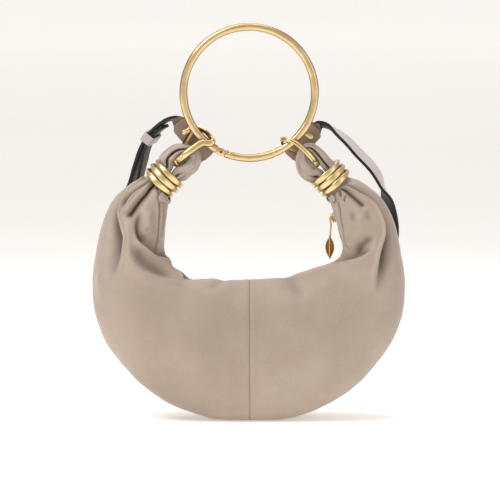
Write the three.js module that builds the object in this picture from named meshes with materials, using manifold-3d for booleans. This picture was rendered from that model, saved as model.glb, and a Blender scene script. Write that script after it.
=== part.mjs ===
// A leather ring handle bag: a slouching pouch with two horns, bound by gold coils and hung from a gold ring.
// Millimetres, +Z up, front towards -Y. The origin is the middle of the flat base, on the floor.
import * as THREE from "three";
import { mergeVertices } from "three/addons/utils/BufferGeometryUtils.js";
import Module from "manifold-3d";

const wasm = await Module();
wasm.setup();

// Driving dimensions: the leather body
const BODY_WIDTH = 288;
const BODY_DEPTH = 104;
const LEATHER = 2;
const SEAM_X = 2;
const NECK_HEIGHT = 220;
const NECK_DIAMETER = 27.4;
const LEFT_LEAN = 48;
const RIGHT_LEAN = 50;
const GAP = 0.3;

// Driving dimensions: the coils that bind the necks, and the padded loops above them
const COIL_TURNS = 3;
const COIL_LENGTH = 18.6;
const COIL_THICKNESS = 4.4;
const COIL_SPACING = 0.5;
const EYE_LENGTH = 36.5;
const EYE_WIDTH = 36;
const EYE_DEPTH = 16;

// Driving dimensions: the ring, its hinged gate and the links
const RING_BORE = 113.5;
const RING_ROD = 7.2;
const RING_LIFT = 15.5;
const RING_X = 1.5;
const GATE_ANGLE = 25.3;
const GATE_PIN = 2;
const GATE_TONGUE = 2;
const LINK_ROD = 4.2;
const LINK_WIDTH = 24;

// Driving dimensions: the zip
const TAB_THICKNESS = 1.4;
const TAPE_THICKNESS = 0.8;
const TAPE_LAP = 3.5;
const TEETH_WIDTH = 4.6;
const TEETH_HEIGHT = 2.2;
const SLIDER_LENGTH = 10;
const SLIDER_WIDTH = 7.5;
const SLIDER_HEIGHT = 3.6;
const PULL_ROD = 1.4;
const PULL_LENGTH = 15;
const CHARM_LENGTH = 21;
const CHARM_WIDTH = 8.4;
const CHARM_THICKNESS = 1.8;

// Driving dimensions: the strap
const STRAP_WIDTH = 17.5;
const STRAP_THICKNESS = 2.6;
const LAYER_GAP = 1.2;
const LAYER_SPREAD = 0.5;
const KEEPER_LENGTH = 9;
const BUCKLE_LENGTH = 5;
const KEEPER_WALL = 1.6;
const STUD_DIAMETER = 4.4;
const STUD_HEAD = 8.4;
const STUD_HEAD_HEIGHT = 1.5;
const LUG_THICKNESS = 2;

const HALF_WIDTH = BODY_WIDTH / 2;
const NECK_SPREAD = 0.5278 * BODY_WIDTH;
const HALF_DEPTH = BODY_DEPTH / 2;
const NECK_RADIUS = NECK_DIAMETER / 2;
const RING_RADIUS = (RING_BORE + RING_ROD) / 2;
const RING_BOTTOM = NECK_HEIGHT + RING_LIFT;
const RING_CENTRE = new THREE.Vector3(RING_X, 0, RING_BOTTOM + RING_ROD + RING_BORE / 2);
const REACH = (RING_ROD + LINK_ROD) / 2 + GAP;
const Y_AXIS = new THREE.Vector3(0, 1, 0);

// Sections of the body from under the neck to the seam: shares of HALF_WIDTH, NECK_HEIGHT and HALF_DEPTH.
// The first four columns are the zip line, outer and rim the opposite edge; belly 0 is a tube, 1 a pouch.
// innerLeft, topLeft, innerRight, topRight, outer, rim, depth, belly
const SECTIONS = [
  [0.5, 0.911, 0.517, 0.914, 0.722, 0.989, 0.375, 0.05],
  [0.51, 0.868, 0.538, 0.868, 0.854, 0.918, 0.5, 0.15],
  [0.517, 0.818, 0.559, 0.818, 0.931, 0.818, 0.615, 0.3],
  [0.524, 0.764, 0.576, 0.768, 0.976, 0.691, 0.712, 0.45],
  [0.528, 0.709, 0.59, 0.718, 1, 0.564, 0.798, 0.6],
  [0.493, 0.655, 0.549, 0.668, 0.976, 0.418, 0.885, 0.8],
  [0.396, 0.595, 0.424, 0.634, 0.861, 0.264, 0.952, 0.95],
  [0.264, 0.574, 0.285, 0.593, 0.639, 0.114, 0.99, 1],
  [0.132, 0.568, 0.132, 0.57, 0.333, 0.014, 1, 1],
  [0, 0.568, 0, 0.568, 0, -0.014, 1, 1],
];

// Half of a section's outline, from the zip edge to the opposite edge: share across, share of the depth.
const POUCH_OUTLINE = [
  [0.055, 0.13], [0, 0.27], [-0.005, 0.44], [0.05, 0.64], [0.17, 0.83], [0.36, 0.96],
  [0.56, 1], [0.75, 0.93], [0.9, 0.77], [0.985, 0.48], [1, 0],
];

// Folds: depth and width are shares of HALF_DEPTH, and a negative depth is a ridge. The path's points are
// shares of the surface: along from the left neck to the right one, and around from the front zip edge.
const FOLDS = [
  {
    depth: 0.085, width: 0.13,
    path: [
      [0.037, 0.375], [0.122, 0.365], [0.165, 0.38],
      [0.208, 0.36], [0.25, 0.352], [0.33, 0.333],
    ],
  },
  {
    depth: 0.05, width: 0.1,
    path: [
      [0.037, 0.29], [0.118, 0.3], [0.16, 0.32],
      [0.182, 0.348], [0.217, 0.325], [0.253, 0.305],
    ],
  },
  {
    depth: 0.09, width: 0.17,
    path: [[0.155, 0.235], [0.215, 0.215], [0.247, 0.175], [0.283, 0.13], [0.33, 0.09]],
  },
  {
    depth: -0.055, width: 0.15,
    path: [
      [0.163, 0.328], [0.21, 0.292], [0.26, 0.268],
      [0.302, 0.245], [0.34, 0.215], [0.438, 0.185],
    ],
  },
  {
    depth: 0.085, width: 0.13,
    path: [
      [0.953, 0.312], [0.893, 0.328], [0.855, 0.338], [0.82, 0.355],
      [0.782, 0.34], [0.73, 0.3], [0.677, 0.307],
    ],
  },
  { depth: 0.04, width: 0.1, path: [[0.95, 0.26], [0.9, 0.302], [0.868, 0.323]] },
  { depth: 0.05, width: 0.15, path: [[0.758, 0.212], [0.782, 0.253], [0.797, 0.295]] },
  { depth: -0.04, width: 0.15, path: [[0.863, 0.31], [0.818, 0.247], [0.768, 0.198], [0.703, 0.15]] },
  { depth: 0.03, width: 0.15, path: [[0.413, 0.163], [0.44, 0.17], [0.465, 0.15]] },
];

// The padded loop's centre line, from inside the neck, over the top and back: share of EYE_LENGTH along the
// neck's axis, share of EYE_WIDTH to the outside, and its half thickness as a share of EYE_WIDTH.
const LEFT_EYE = [
  [0.173, 0.192, 0.15], [0.26, 0.2, 0.15], [0.38, 0.33, 0.158],
  [0.52, 0.35, 0.15], [0.74, 0.29, 0.128], [0.92, 0.14, 0.111],
  [1, -0.07, 0.106], [0.9, -0.25, 0.144], [0.71, -0.29, 0.183],
  [0.49, -0.267, 0.19], [0.36, -0.25, 0.175], [0.26, -0.2, 0.15],
  [0.173, -0.192, 0.15],
];
const RIGHT_EYE = [
  [0.173, 0.19, 0.15], [0.26, 0.2, 0.15], [0.4, 0.215, 0.133],
  [0.55, 0.22, 0.122], [0.77, 0.195, 0.117], [0.945, 0.13, 0.106],
  [1, 0, 0.106], [0.93, -0.155, 0.128], [0.77, -0.29, 0.167],
  [0.55, -0.355, 0.192], [0.38, -0.32, 0.18], [0.26, -0.2, 0.15],
  [0.173, -0.192, 0.15],
];

// A link's closed path from its end in the eye to the ring and back: share of the way to the ring, share of
// REACH past the ring's centre line, share of LINK_WIDTH to the outside, share of REACH to the back.
const LEFT_LINK = [
  [0, 0, 0, 0], [0.2, 0, 0, -1.2], [0.5, 0, -0.04, -1.62],
  [0.9, 0, -0.18, -1.3], [1, 0.25, -0.42, -1.1], [1, 1, -0.5, -0.8],
  [1, 1.25, -0.33, 0.08], [1, 1.05, 0.04, 0.5], [1, 0.3, 0.37, 1.12],
  [0.77, 0, 0.32, 1.58], [0.4, 0, 0.18, 1.62], [0.09, 0, 0.06, 0.9],
];
const RIGHT_LINK = [
  [0, 0, 0, 0], [0.16, 0, 0.08, -1.2], [0.5, 0, 0.18, -1.62],
  [0.86, 0, 0.215, -1.3], [1, 0.42, 0.15, -1.08], [1, 1.2, 0.03, -0.45],
  [1, 1.3, -0.1, 0.4], [1, 0.1, -0.19, 1.2], [0.7, 0, -0.12, 1.58],
  [0.33, 0, -0.08, 1.6], [0.05, 0, -0.04, 0.95],
];
const LEFT_LINK_SEAT = { along: 0.46, out: 0.065, angle: -47 };
const RIGHT_LINK_SEAT = { along: 0.49, out: -0.03, angle: 38 };

// The strap's two lengths: shares of HALF_WIDTH across, HALF_DEPTH to the back and NECK_HEIGHT up, and the
// turn of its width about its run, from 0 across the depth to 90 in the plane of the bag's back.
const SHORT_STRAP = [
  [-0.495, 0.25, 1.246, 25], [-0.572, 0.34, 1.215, 4], [-0.629, 0.42, 1.173, 0], [-0.674, 0.5, 1.119, 0],
  [-0.703, 0.6, 1.0645, 0], [-0.74, 0.78, 0.985, 0], [-0.775, 1, 0.88, 45], [-0.785, 1.12, 0.79, 88],
  [-0.785, 1.12, 0.7, 90],
];
const LONG_STRAP = [
  [0.47, 0.2, 1.222, 55], [0.545, 0.3, 1.199, 12], [0.6395, 0.4, 1.15, 0], [0.709, 0.5, 1.1, 0],
  [0.799, 0.65, 1.036, 0], [0.861, 0.82, 0.967, 0], [0.905, 1.0, 0.87, 40], [0.91, 1.1, 0.709, 85],
  [0.8146, 1.1, 0.4997, 90], [0.623, 1.1, 0.2906, 90], [0.3354, 1.1, 0.15, 90], [0.016, 1.1, 0.105, 90],
  [-0.2715, 1.1, 0.15, 90], [-0.527, 1.1, 0.2697, 90], [-0.687, 1.13, 0.458, 90], [-0.765, 1.19, 0.6, 90],
];
const LEFT_TAB = { tip: 32, lip: 67 };
const RIGHT_TAB = { tip: 32, lip: 62 };
const TAB_PLANE = 1.62 * REACH + LINK_ROD / 2 + GAP + STRAP_THICKNESS / 2;
const LEFT_STUD_ANGLE = -58;
const RIGHT_STUD_ANGLE = 54;
const STUD_RADIUS = RING_RADIUS + STRAP_WIDTH * 0.55;

// Counts of facets
const STEPS_ALONG = 16;
const STEPS_FRONT = 22;
const STEPS_BACK = 12;
const COIL_STEPS = 14;
const ROD_SIDES = 8;
const RING_SIDES = 10;
const STRAP_STEPS = 2;

const leather = material(0xa89583, 0.55, 0);
const paleLeather = material(0xd5cdca, 0.6, 0);
const darkLeather = material(0x8d7663, 0.6, 0);
const gold = material(0xd2b67e, 0.22, 1);
const zipCloth = material(0x8b7a6a, 0.85, 0);
const zipMetal = material(0xb89c62, 0.35, 1);

function material(color, roughness, metalness) {
  return new THREE.MeshStandardMaterial({ color, roughness, metalness });
}

function radians(degrees) {
  return (degrees * Math.PI) / 180;
}

function spline(rows, share) {
  // Catmull-Rom through rows of numbers, with share from 0 at the first row to 1 at the last.
  const last = rows.length - 1;
  const place = Math.min(Math.max(share, 0), 1) * last;
  const i = Math.min(Math.floor(place), last - 1);
  const f = place - i;
  const before = rows[Math.max(i - 1, 0)];
  const after = rows[Math.min(i + 2, last)];
  return rows[i].map((p1, k) => {
    const p0 = before[k];
    const p2 = rows[i + 1][k];
    const p3 = after[k];
    const cubic = 3 * p1 - p0 - 3 * p2 + p3;
    return 0.5 * (2 * p1 + (p2 - p0) * f + (2 * p0 - 5 * p1 + 4 * p2 - p3) * f * f + cubic * f * f * f);
  });
}

function ringsToGeometry(rings, { closed = false, band = false } = {}) {
  // One closed skin over rings of points. The end caps are fans, or strips when each ring is a bent band.
  const count = rings[0].length;
  const points = rings.flat();
  const index = [];
  const spans = closed ? rings.length : rings.length - 1;
  for (let i = 0; i < spans; i += 1) {
    const next = ((i + 1) % rings.length) * count;
    for (let j = 0; j < count; j += 1) {
      const side = (j + 1) % count;
      index.push(i * count + j, i * count + side, next + side);
      index.push(i * count + j, next + side, next + j);
    }
  }
  if (!closed) {
    addCap(index, 0, count, band, true);
    addCap(index, (rings.length - 1) * count, count, band, false);
  }
  return geometryFrom(points, index);
}

function addCap(index, first, count, band, flip) {
  const add = (a, b, c) => {
    const [second, third] = flip ? [c, b] : [b, c];
    index.push(first + a, first + second, first + third);
  };
  if (!band) {
    for (let j = 1; j < count - 1; j += 1) add(0, j, j + 1);
    return;
  }
  for (let j = 0; j < count / 2 - 1; j += 1) {
    add(j, j + 1, count - 2 - j);
    add(j, count - 2 - j, count - 1 - j);
  }
}

function geometryFrom(points, index) {
  // Faces are turned to point out: the signed volume of a closed body is positive.
  let volume = 0;
  for (let i = 0; i < index.length; i += 3) {
    const [a, b, c] = [points[index[i]], points[index[i + 1]], points[index[i + 2]]];
    volume += a.dot(new THREE.Vector3().crossVectors(b, c));
  }
  const faces = volume < 0 ? index.slice().reverse() : index;
  const geometry = new THREE.BufferGeometry().setFromPoints(points);
  geometry.setIndex(faces);
  return geometry;
}

function solidFrom(geometry) {
  const bare = geometry.clone();
  bare.deleteAttribute("normal");
  bare.deleteAttribute("uv");
  const merged = mergeVertices(bare, 1e-5);
  const vertProperties = new Float32Array(merged.attributes.position.array);
  const triVerts = new Uint32Array(merged.index.array);
  return new wasm.Manifold(new wasm.Mesh({ numProp: 3, vertProperties, triVerts }));
}

function geometryOf(solid) {
  const mesh = solid.getMesh();
  const geometry = new THREE.BufferGeometry();
  geometry.setAttribute("position", new THREE.BufferAttribute(new Float32Array(mesh.vertProperties), 3));
  geometry.setIndex(new THREE.BufferAttribute(new Uint32Array(mesh.triVerts), 1));
  return geometry;
}

function boxAt(size, centre, turn = 0) {
  return solidFrom(new THREE.BoxGeometry(...size).rotateY(turn).translate(...centre.toArray()));
}

function barAlongY(diameter, length, centre, sides = 20) {
  const bar = new THREE.CylinderGeometry(diameter / 2, diameter / 2, length, sides);
  return solidFrom(bar.translate(...centre.toArray()));
}

// The neck frames: centre of each coil, the axis up out of the body and the direction to the outside.
function neckFrame(side) {
  const lean = radians(side < 0 ? LEFT_LEAN : RIGHT_LEAN);
  const axis = new THREE.Vector3(-side * Math.cos(lean), 0, Math.sin(lean));
  const out = new THREE.Vector3(side * Math.sin(lean), 0, Math.cos(lean));
  const centre = new THREE.Vector3((side * NECK_SPREAD) / 2, 0, NECK_HEIGHT);
  const at = (along, aside, deep = 0) =>
    centre.clone().addScaledVector(axis, along).addScaledVector(out, aside).setY(deep);
  return { centre, axis, out, at };
}

const LEFT_NECK = neckFrame(-1);
const RIGHT_NECK = neckFrame(1);

// The body's surface
const NECK_END = COIL_LENGTH / 3;
const SLIT_TURN = radians(8);

function neckSection(neck, along) {
  const inner = neck.at(along, -NECK_RADIUS);
  const outer = neck.at(along, NECK_RADIUS);
  return [inner.x, inner.z, outer.x, outer.z, NECK_RADIUS, 0];
}

function sideSections(side) {
  const neck = side < 0 ? LEFT_NECK : RIGHT_NECK;
  const rows = [neckSection(neck, NECK_END), neckSection(neck, -COIL_LENGTH / 2)];
  SECTIONS.forEach(([innerLeft, topLeft, innerRight, topRight, outer, rim, depth, belly], k) => {
    const shift = (SEAM_X * (k + 1)) / SECTIONS.length;
    const innerX = side * (side < 0 ? innerLeft : innerRight) * HALF_WIDTH + shift;
    const innerZ = (side < 0 ? topLeft : topRight) * NECK_HEIGHT;
    const outerX = side * outer * HALF_WIDTH + shift;
    rows.push([innerX, innerZ, outerX, rim * NECK_HEIGHT, depth * HALF_DEPTH, belly]);
  });
  return rows;
}

const STATIONS = [...sideSections(-1), ...sideSections(1).reverse().slice(1)];
const ROW_SHARE = 1 / (STATIONS.length - 1);

function tubeOutline(half) {
  // The same as POUCH_OUTLINE gives, for a round neck that is slit for the zip.
  const turn = SLIT_TURN + (Math.PI - SLIT_TURN) * half;
  return [(1 - Math.cos(turn)) / 2, Math.sin(turn)];
}

function smoothPoint(along, around) {
  const [innerX, innerZ, outerX, outerZ, depth, belly] = spline(STATIONS, along);
  const half = (around <= 0.5 ? around : 1 - around) * 2;
  const pouch = spline(POUCH_OUTLINE, half);
  const tube = tubeOutline(half);
  const across = pouch[0] * belly + tube[0] * (1 - belly);
  const deep = (pouch[1] * belly + tube[1] * (1 - belly)) * depth;
  const x = innerX + (outerX - innerX) * across;
  const z = innerZ + (outerZ - innerZ) * across;
  return new THREE.Vector3(x, around <= 0.5 ? -deep : deep, z);
}

function smoothNormal(along, around) {
  const step = 0.002;
  const [a0, a1] = [Math.max(along - step, 0), Math.min(along + step, 1)];
  const [b0, b1] = [Math.max(around - step, 0), Math.min(around + step, 1)];
  const run = smoothPoint(a1, around).sub(smoothPoint(a0, around));
  const turn = smoothPoint(along, b1).sub(smoothPoint(along, b0));
  return run.cross(turn).normalize().negate();
}

const FOLD_SAMPLES = 24;
const foldTracks = FOLDS.map((fold) => {
  const track = [];
  for (let k = 0; k <= FOLD_SAMPLES; k += 1) {
    const share = k / FOLD_SAMPLES;
    const [along, around] = spline(fold.path, share);
    const fade = Math.min(1, 5 * Math.min(share, 1 - share) + 0.15);
    track.push({ point: smoothPoint(along, around), fade });
  }
  return { track, depth: fold.depth * HALF_DEPTH, width: fold.width * HALF_DEPTH };
});

function foldDepth(point) {
  let total = 0;
  for (const { track, depth, width } of foldTracks) {
    let strongest = 0;
    for (const sample of track) {
      const reach = point.distanceTo(sample.point) / width;
      strongest = Math.max(strongest, sample.fade * Math.exp(-reach * reach));
    }
    total += depth * strongest;
  }
  return total;
}

function bodySection(along, seamX) {
  const outside = [];
  const inside = [];
  for (let j = 0; j <= STEPS_FRONT + STEPS_BACK; j += 1) {
    const onBack = (j - STEPS_FRONT) / STEPS_BACK;
    const around = onBack <= 0 ? (0.5 * j) / STEPS_FRONT : 0.5 + 0.5 * onBack;
    const point = smoothPoint(along, around);
    const normal = smoothNormal(along, around);
    point.addScaledVector(normal, -foldDepth(point));
    const inner = point.clone().addScaledVector(normal, -LEATHER);
    point.z = Math.max(point.z, 0);
    inner.z = Math.max(inner.z, LEATHER);
    if (seamX !== undefined) {
      point.x = seamX;
      inner.x = seamX;
    }
    outside.push(point);
    inside.push(inner);
  }
  return [...outside, ...inside.reverse()];
}

function bodyHalf(side) {
  const rings = [];
  for (let i = 0; i <= STEPS_ALONG; i += 1) {
    const along = (0.5 * i) / STEPS_ALONG;
    const seamX = i === STEPS_ALONG ? SEAM_X + (side * GAP) / 2 : undefined;
    rings.push(bodySection(side < 0 ? along : 1 - along, seamX));
  }
  return ringsToGeometry(rings, { band: true });
}

// A leather tab that follows the body's surface over the end of the zip.
function surfaceTab({ along, around }) {
  const rings = [];
  for (let i = 0; i <= 3; i += 1) {
    const outside = [];
    const inside = [];
    for (let j = 0; j <= 6; j += 1) {
      const a = along[0] + ((along[1] - along[0]) * i) / 3;
      const b = around[0] + ((around[1] - around[0]) * j) / 6;
      const normal = smoothNormal(a, b);
      const point = smoothPoint(a, b);
      point.addScaledVector(normal, 2 * GAP - foldDepth(point));
      inside.push(point);
      outside.push(point.clone().addScaledVector(normal, TAB_THICKNESS));
    }
    rings.push([...outside, ...inside.reverse()]);
  }
  return ringsToGeometry(rings, { band: true });
}

const LEFT_ZIP_END = { along: [0.056, 0.098], around: [0.015, 0.17] };
const RIGHT_ZIP_END = { along: [0.944, 0.902], around: [0.015, 0.13] };

// The zip: its tape lies under the slot's edges, its teeth stand on the tape, and the slider rides on them.
const TAPE_FIRST = 2 * ROW_SHARE;
const TEETH_FIRST = 3 * ROW_SHARE;

function zipFrame(along) {
  const front = smoothPoint(along, 0);
  const centre = new THREE.Vector3(front.x, 0, front.z);
  const ahead = smoothPoint(Math.min(along + 0.004, 1), 0);
  const behind = smoothPoint(Math.max(along - 0.004, 0), 0);
  const run = new THREE.Vector3(ahead.x - behind.x, 0, ahead.z - behind.z).normalize();
  const out = new THREE.Vector3().crossVectors(run, Y_AXIS).normalize();
  return { centre, run, out, half: Math.abs(front.y) };
}

function zipStrip(first, steps, halfWidth, low, high) {
  const rings = [];
  for (let i = 0; i <= steps; i += 1) {
    const share = i / steps;
    const frame = zipFrame(first + (1 - 2 * first) * share);
    const half = halfWidth(frame.half, Math.min(share, 1 - share));
    const corner = (deep, lift) => frame.centre.clone().addScaledVector(frame.out, lift).setY(deep);
    rings.push([corner(-half, low), corner(half, low), corner(half, high), corner(-half, high)]);
  }
  return ringsToGeometry(rings);
}

const TAPE_TOP = -LEATHER - GAP;
const TEETH_TOP = TAPE_TOP + GAP + TEETH_HEIGHT;

function zipTape() {
  const halfWidth = (slot, fromEnd) => slot + TAPE_LAP * Math.min(1, 0.1 + 5 * fromEnd);
  return zipStrip(TAPE_FIRST, 44, halfWidth, TAPE_TOP - TAPE_THICKNESS, TAPE_TOP);
}

function zipTeeth() {
  return zipStrip(TEETH_FIRST, 44, () => TEETH_WIDTH / 2, TAPE_TOP + GAP, TEETH_TOP);
}

const SLIDER_PLACE = 1 - 3.55 * ROW_SHARE;

function placedOn(frame, geometry, lift) {
  // Puts a piece modelled along Z, with -X as its outer side, on the zip line.
  const third = new THREE.Vector3().crossVectors(frame.out, Y_AXIS);
  const basis = new THREE.Matrix4().makeBasis(frame.out, Y_AXIS, third);
  const seat = frame.centre.clone().addScaledVector(frame.out, lift);
  return geometry.applyMatrix4(basis.setPosition(seat));
}

function zipSlider() {
  const profile = new THREE.Shape();
  profile.absellipse(0, 0, SLIDER_WIDTH / 2, SLIDER_LENGTH / 2, 0, 2 * Math.PI);
  const plate = new THREE.ExtrudeGeometry(profile, {
    depth: SLIDER_HEIGHT,
    bevelEnabled: false,
    curveSegments: 8,
  });
  plate.rotateZ(Math.PI / 2).rotateY(Math.PI / 2).rotateX(Math.PI / 2).rotateX(Math.PI / 2);
  return placedOn(zipFrame(SLIDER_PLACE), plate, TEETH_TOP + GAP);
}

function closedRod(points, rod, sides) {
  // A rod bent into a closed loop through the points, evenly sampled.
  const curve = new THREE.CatmullRomCurve3(points, true, "centripetal");
  return rodRings(curve, points.length * 3, rod, sides);
}

function rodRings(curve, steps, rod, sides) {
  const frames = curve.computeFrenetFrames(steps, true);
  const rings = [];
  for (let i = 0; i < steps; i += 1) {
    const centre = curve.getPointAt(i / steps);
    const ring = [];
    for (let j = 0; j < sides; j += 1) {
      const turn = (2 * Math.PI * j) / sides;
      const point = centre.clone().addScaledVector(frames.normals[i], (Math.cos(turn) * rod) / 2);
      ring.push(point.addScaledVector(frames.binormals[i], (Math.sin(turn) * rod) / 2));
    }
    rings.push(ring);
  }
  return ringsToGeometry(rings, { closed: true });
}

const PULL_TOP = zipFrame(SLIDER_PLACE).centre.clone()
  .addScaledVector(zipFrame(SLIDER_PLACE).out, TEETH_TOP + 2 * GAP + SLIDER_HEIGHT + PULL_ROD / 2);

function pullLoop() {
  // Shares of the loop's width across and of PULL_LENGTH down.
  const places = [[0.3, 0], [0.62, 0.4], [0.5, 0.9], [0, 1], [-0.5, 0.9], [-0.62, 0.4], [-0.3, 0]];
  const width = PULL_LENGTH / 3;
  const points = places.map(([aside, down]) =>
    PULL_TOP.clone().add(new THREE.Vector3(0, aside * width, -down * PULL_LENGTH)));
  return closedRod(points, PULL_ROD, 6);
}

function pullCharm() {
  // A plain drop with a raised middle rib, hanging from the loop's lower end.
  const top = PULL_TOP.z - PULL_LENGTH - PULL_ROD / 2 - GAP;
  const rows = [[0, 0.12], [0.12, 0.3], [0.35, 0.78], [0.62, 1], [0.85, 0.72], [1, 0.14]];
  const rings = rows.map(([down, wide]) => {
    const half = (wide * CHARM_WIDTH) / 2;
    const thick = CHARM_THICKNESS * (0.35 + 0.15 * wide);
    const at = (x, y) => new THREE.Vector3(PULL_TOP.x + x, y, top - down * CHARM_LENGTH);
    return [at(-half, 0), at(0, -thick), at(half, 0), at(0, thick)];
  });
  return ringsToGeometry(rings);
}

// A coil: an oval bar wound round the neck, tapered at both ends.
function coil(neck) {
  const pitch = COIL_LENGTH / COIL_TURNS;
  const halfTall = (pitch - COIL_SPACING) / 2;
  const inner = (NECK_RADIUS + GAP) / Math.cos(Math.PI / COIL_STEPS);
  const middle = inner + COIL_THICKNESS / 2;
  const steps = COIL_TURNS * COIL_STEPS;
  const rings = [];
  for (let i = 0; i <= steps; i += 1) {
    const share = i / steps;
    const turn = 2 * Math.PI * COIL_TURNS * share;
    const along = (share - 0.5) * pitch * COIL_TURNS;
    const taper = Math.min(1, 0.12 + 1.4 * COIL_TURNS * Math.min(share, 1 - share));
    const ring = [];
    for (let j = 0; j < ROD_SIDES; j += 1) {
      const angle = (2 * Math.PI * j) / ROD_SIDES;
      const radius = middle + (Math.cos(angle) * COIL_THICKNESS * taper) / 2;
      const rise = along + Math.sin(angle) * halfTall * taper;
      ring.push(neck.at(rise, Math.cos(turn) * radius, Math.sin(turn) * radius));
    }
    rings.push(ring);
  }
  return ringsToGeometry(rings);
}

// The padded leather loop above a neck.
function eye(neck, table) {
  const steps = 28;
  const rings = [];
  const flat = (share) => {
    const [along, out] = spline(table, share);
    return new THREE.Vector2(along * EYE_LENGTH, out * EYE_WIDTH);
  };
  for (let i = 0; i <= steps; i += 1) {
    const share = i / steps;
    const place = flat(share);
    const run = flat(Math.min(share + 0.01, 1)).sub(flat(Math.max(share - 0.01, 0))).normalize();
    if (i === 0 || i === steps) run.set(i === 0 ? 1 : -1, 0);
    const thick = spline(table, share)[2] * EYE_WIDTH;
    const deep = (EYE_DEPTH / 2) * (1 - 0.16 * Math.sin(Math.PI * share));
    const ring = [];
    for (let j = 0; j < ROD_SIDES; j += 1) {
      const angle = (2 * Math.PI * j) / ROD_SIDES;
      const aside = Math.cos(angle) * thick;
      ring.push(neck.at(place.x - run.y * aside, place.y + run.x * aside, Math.sin(angle) * deep));
    }
    rings.push(ring);
  }
  return ringsToGeometry(rings);
}

function ringPoint(angle, radius = RING_RADIUS, deep = 0) {
  // A point by its angle from straight down, positive to the right.
  const turn = radians(angle);
  return new THREE.Vector3(RING_X + Math.sin(turn) * radius, deep, RING_CENTRE.z - Math.cos(turn) * radius);
}

function link(neck, seat, table) {
  const start = neck.at(seat.along * EYE_LENGTH, seat.out * EYE_WIDTH);
  const end = ringPoint(seat.angle);
  const run = end.clone().sub(start);
  const length = run.length();
  run.normalize();
  const side = Math.sign(seat.angle);
  const out = new THREE.Vector3(side * run.z, 0, -side * run.x);
  const points = table.map(([toward, past, aside, deep]) =>
    start.clone()
      .addScaledVector(run, toward * length + past * REACH)
      .addScaledVector(out, aside * LINK_WIDTH)
      .add(new THREE.Vector3(0, deep * REACH, 0)));
  return closedRod(points, LINK_ROD, 6);
}

// The ring and its gate. The gate is hinged at its left end and meets the ring on an upright face at its right.
const HINGE = ringPoint(-GATE_ANGLE);
const GATE_FACE_X = ringPoint(GATE_ANGLE).x;
const KNUCKLE = RING_ROD;
const SLOT = GATE_TONGUE + 2 * GAP;

function ringArc(from, to, steps) {
  const rings = [];
  for (let i = 0; i <= steps; i += 1) {
    const angle = from + ((to - from) * i) / steps;
    const ring = [];
    for (let j = 0; j < RING_SIDES; j += 1) {
      const turn = (2 * Math.PI * j) / RING_SIDES;
      const radius = RING_RADIUS + (Math.cos(turn) * RING_ROD) / 2;
      ring.push(ringPoint(angle, radius, (Math.sin(turn) * RING_ROD) / 2));
    }
    rings.push(ring);
  }
  return solidFrom(ringsToGeometry(rings));
}

function ringHandle() {
  const bar = ringArc(GATE_ANGLE - 6, 360 - GATE_ANGLE, 40);
  const cutWidth = RING_ROD * 3;
  const cutPlace = ringPoint(GATE_ANGLE).setX(GATE_FACE_X - cutWidth / 2);
  const cut = boxAt([cutWidth, RING_ROD * 2, RING_ROD * 3], cutPlace);
  const knuckle = barAlongY(KNUCKLE, RING_ROD - 0.2, HINGE);
  const slot = barAlongY(KNUCKLE + 4 * GAP, SLOT, HINGE);
  const pin = barAlongY(GATE_PIN, RING_ROD - 0.4, HINGE, 12);
  const lugs = strapLug(LEFT_STUD_ANGLE).add(strapLug(RIGHT_STUD_ANGLE));
  return geometryOf(bar.subtract(cut).add(knuckle).subtract(slot).add(pin).add(lugs));
}

function ringGate() {
  const clear = KNUCKLE / 2 + 2 * GAP;
  const first = -GATE_ANGLE + (clear / RING_RADIUS) * (180 / Math.PI);
  const bar = ringArc(first, GATE_ANGLE + 6, 14);
  const cutWidth = RING_ROD * 3;
  const cutPlace = ringPoint(GATE_ANGLE).setX(GATE_FACE_X - GAP + cutWidth / 2);
  const cut = boxAt([cutWidth, RING_ROD * 2, RING_ROD * 3], cutPlace);
  const tall = KNUCKLE - 4 * GAP;
  const tongueEnd = ringPoint(first + 3);
  const reach = tongueEnd.clone().sub(HINGE);
  const turn = -Math.atan2(reach.z, reach.x);
  const middle = HINGE.clone().addScaledVector(reach, 0.5);
  const arm = boxAt([reach.length(), GATE_TONGUE, tall], middle, turn);
  const tongue = arm.add(barAlongY(tall, GATE_TONGUE, HINGE));
  const bore = barAlongY(GATE_PIN + 2 * GAP, RING_ROD, HINGE, 12);
  return geometryOf(bar.subtract(cut).add(tongue).subtract(bore));
}

// The strap. A station holds a centre and a width direction, as six numbers.
function tabStations(side) {
  // The strap's end lies flat behind the ring, along its tangent.
  const { tip, lip } = side < 0 ? LEFT_TAB : RIGHT_TAB;
  const middle = radians((tip + lip) / 2);
  const length = radians(lip - tip) * (RING_RADIUS + STRAP_WIDTH / 2);
  const along = new THREE.Vector3(side * Math.cos(middle), 0, Math.sin(middle));
  const across = new THREE.Vector3(side * Math.sin(middle), 0, -Math.cos(middle));
  const spine = RING_CENTRE.clone().addScaledVector(across, RING_RADIUS + STRAP_WIDTH * 0.42).setY(TAB_PLANE);
  const place = (share) => spine.clone().addScaledVector(along, share * length);
  return [-0.5, -0.17, 0.17, 0.5].map((share) => station(place(share), across));
}

function station(centre, width) {
  return [...centre.toArray(), ...width.toArray()];
}

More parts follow.
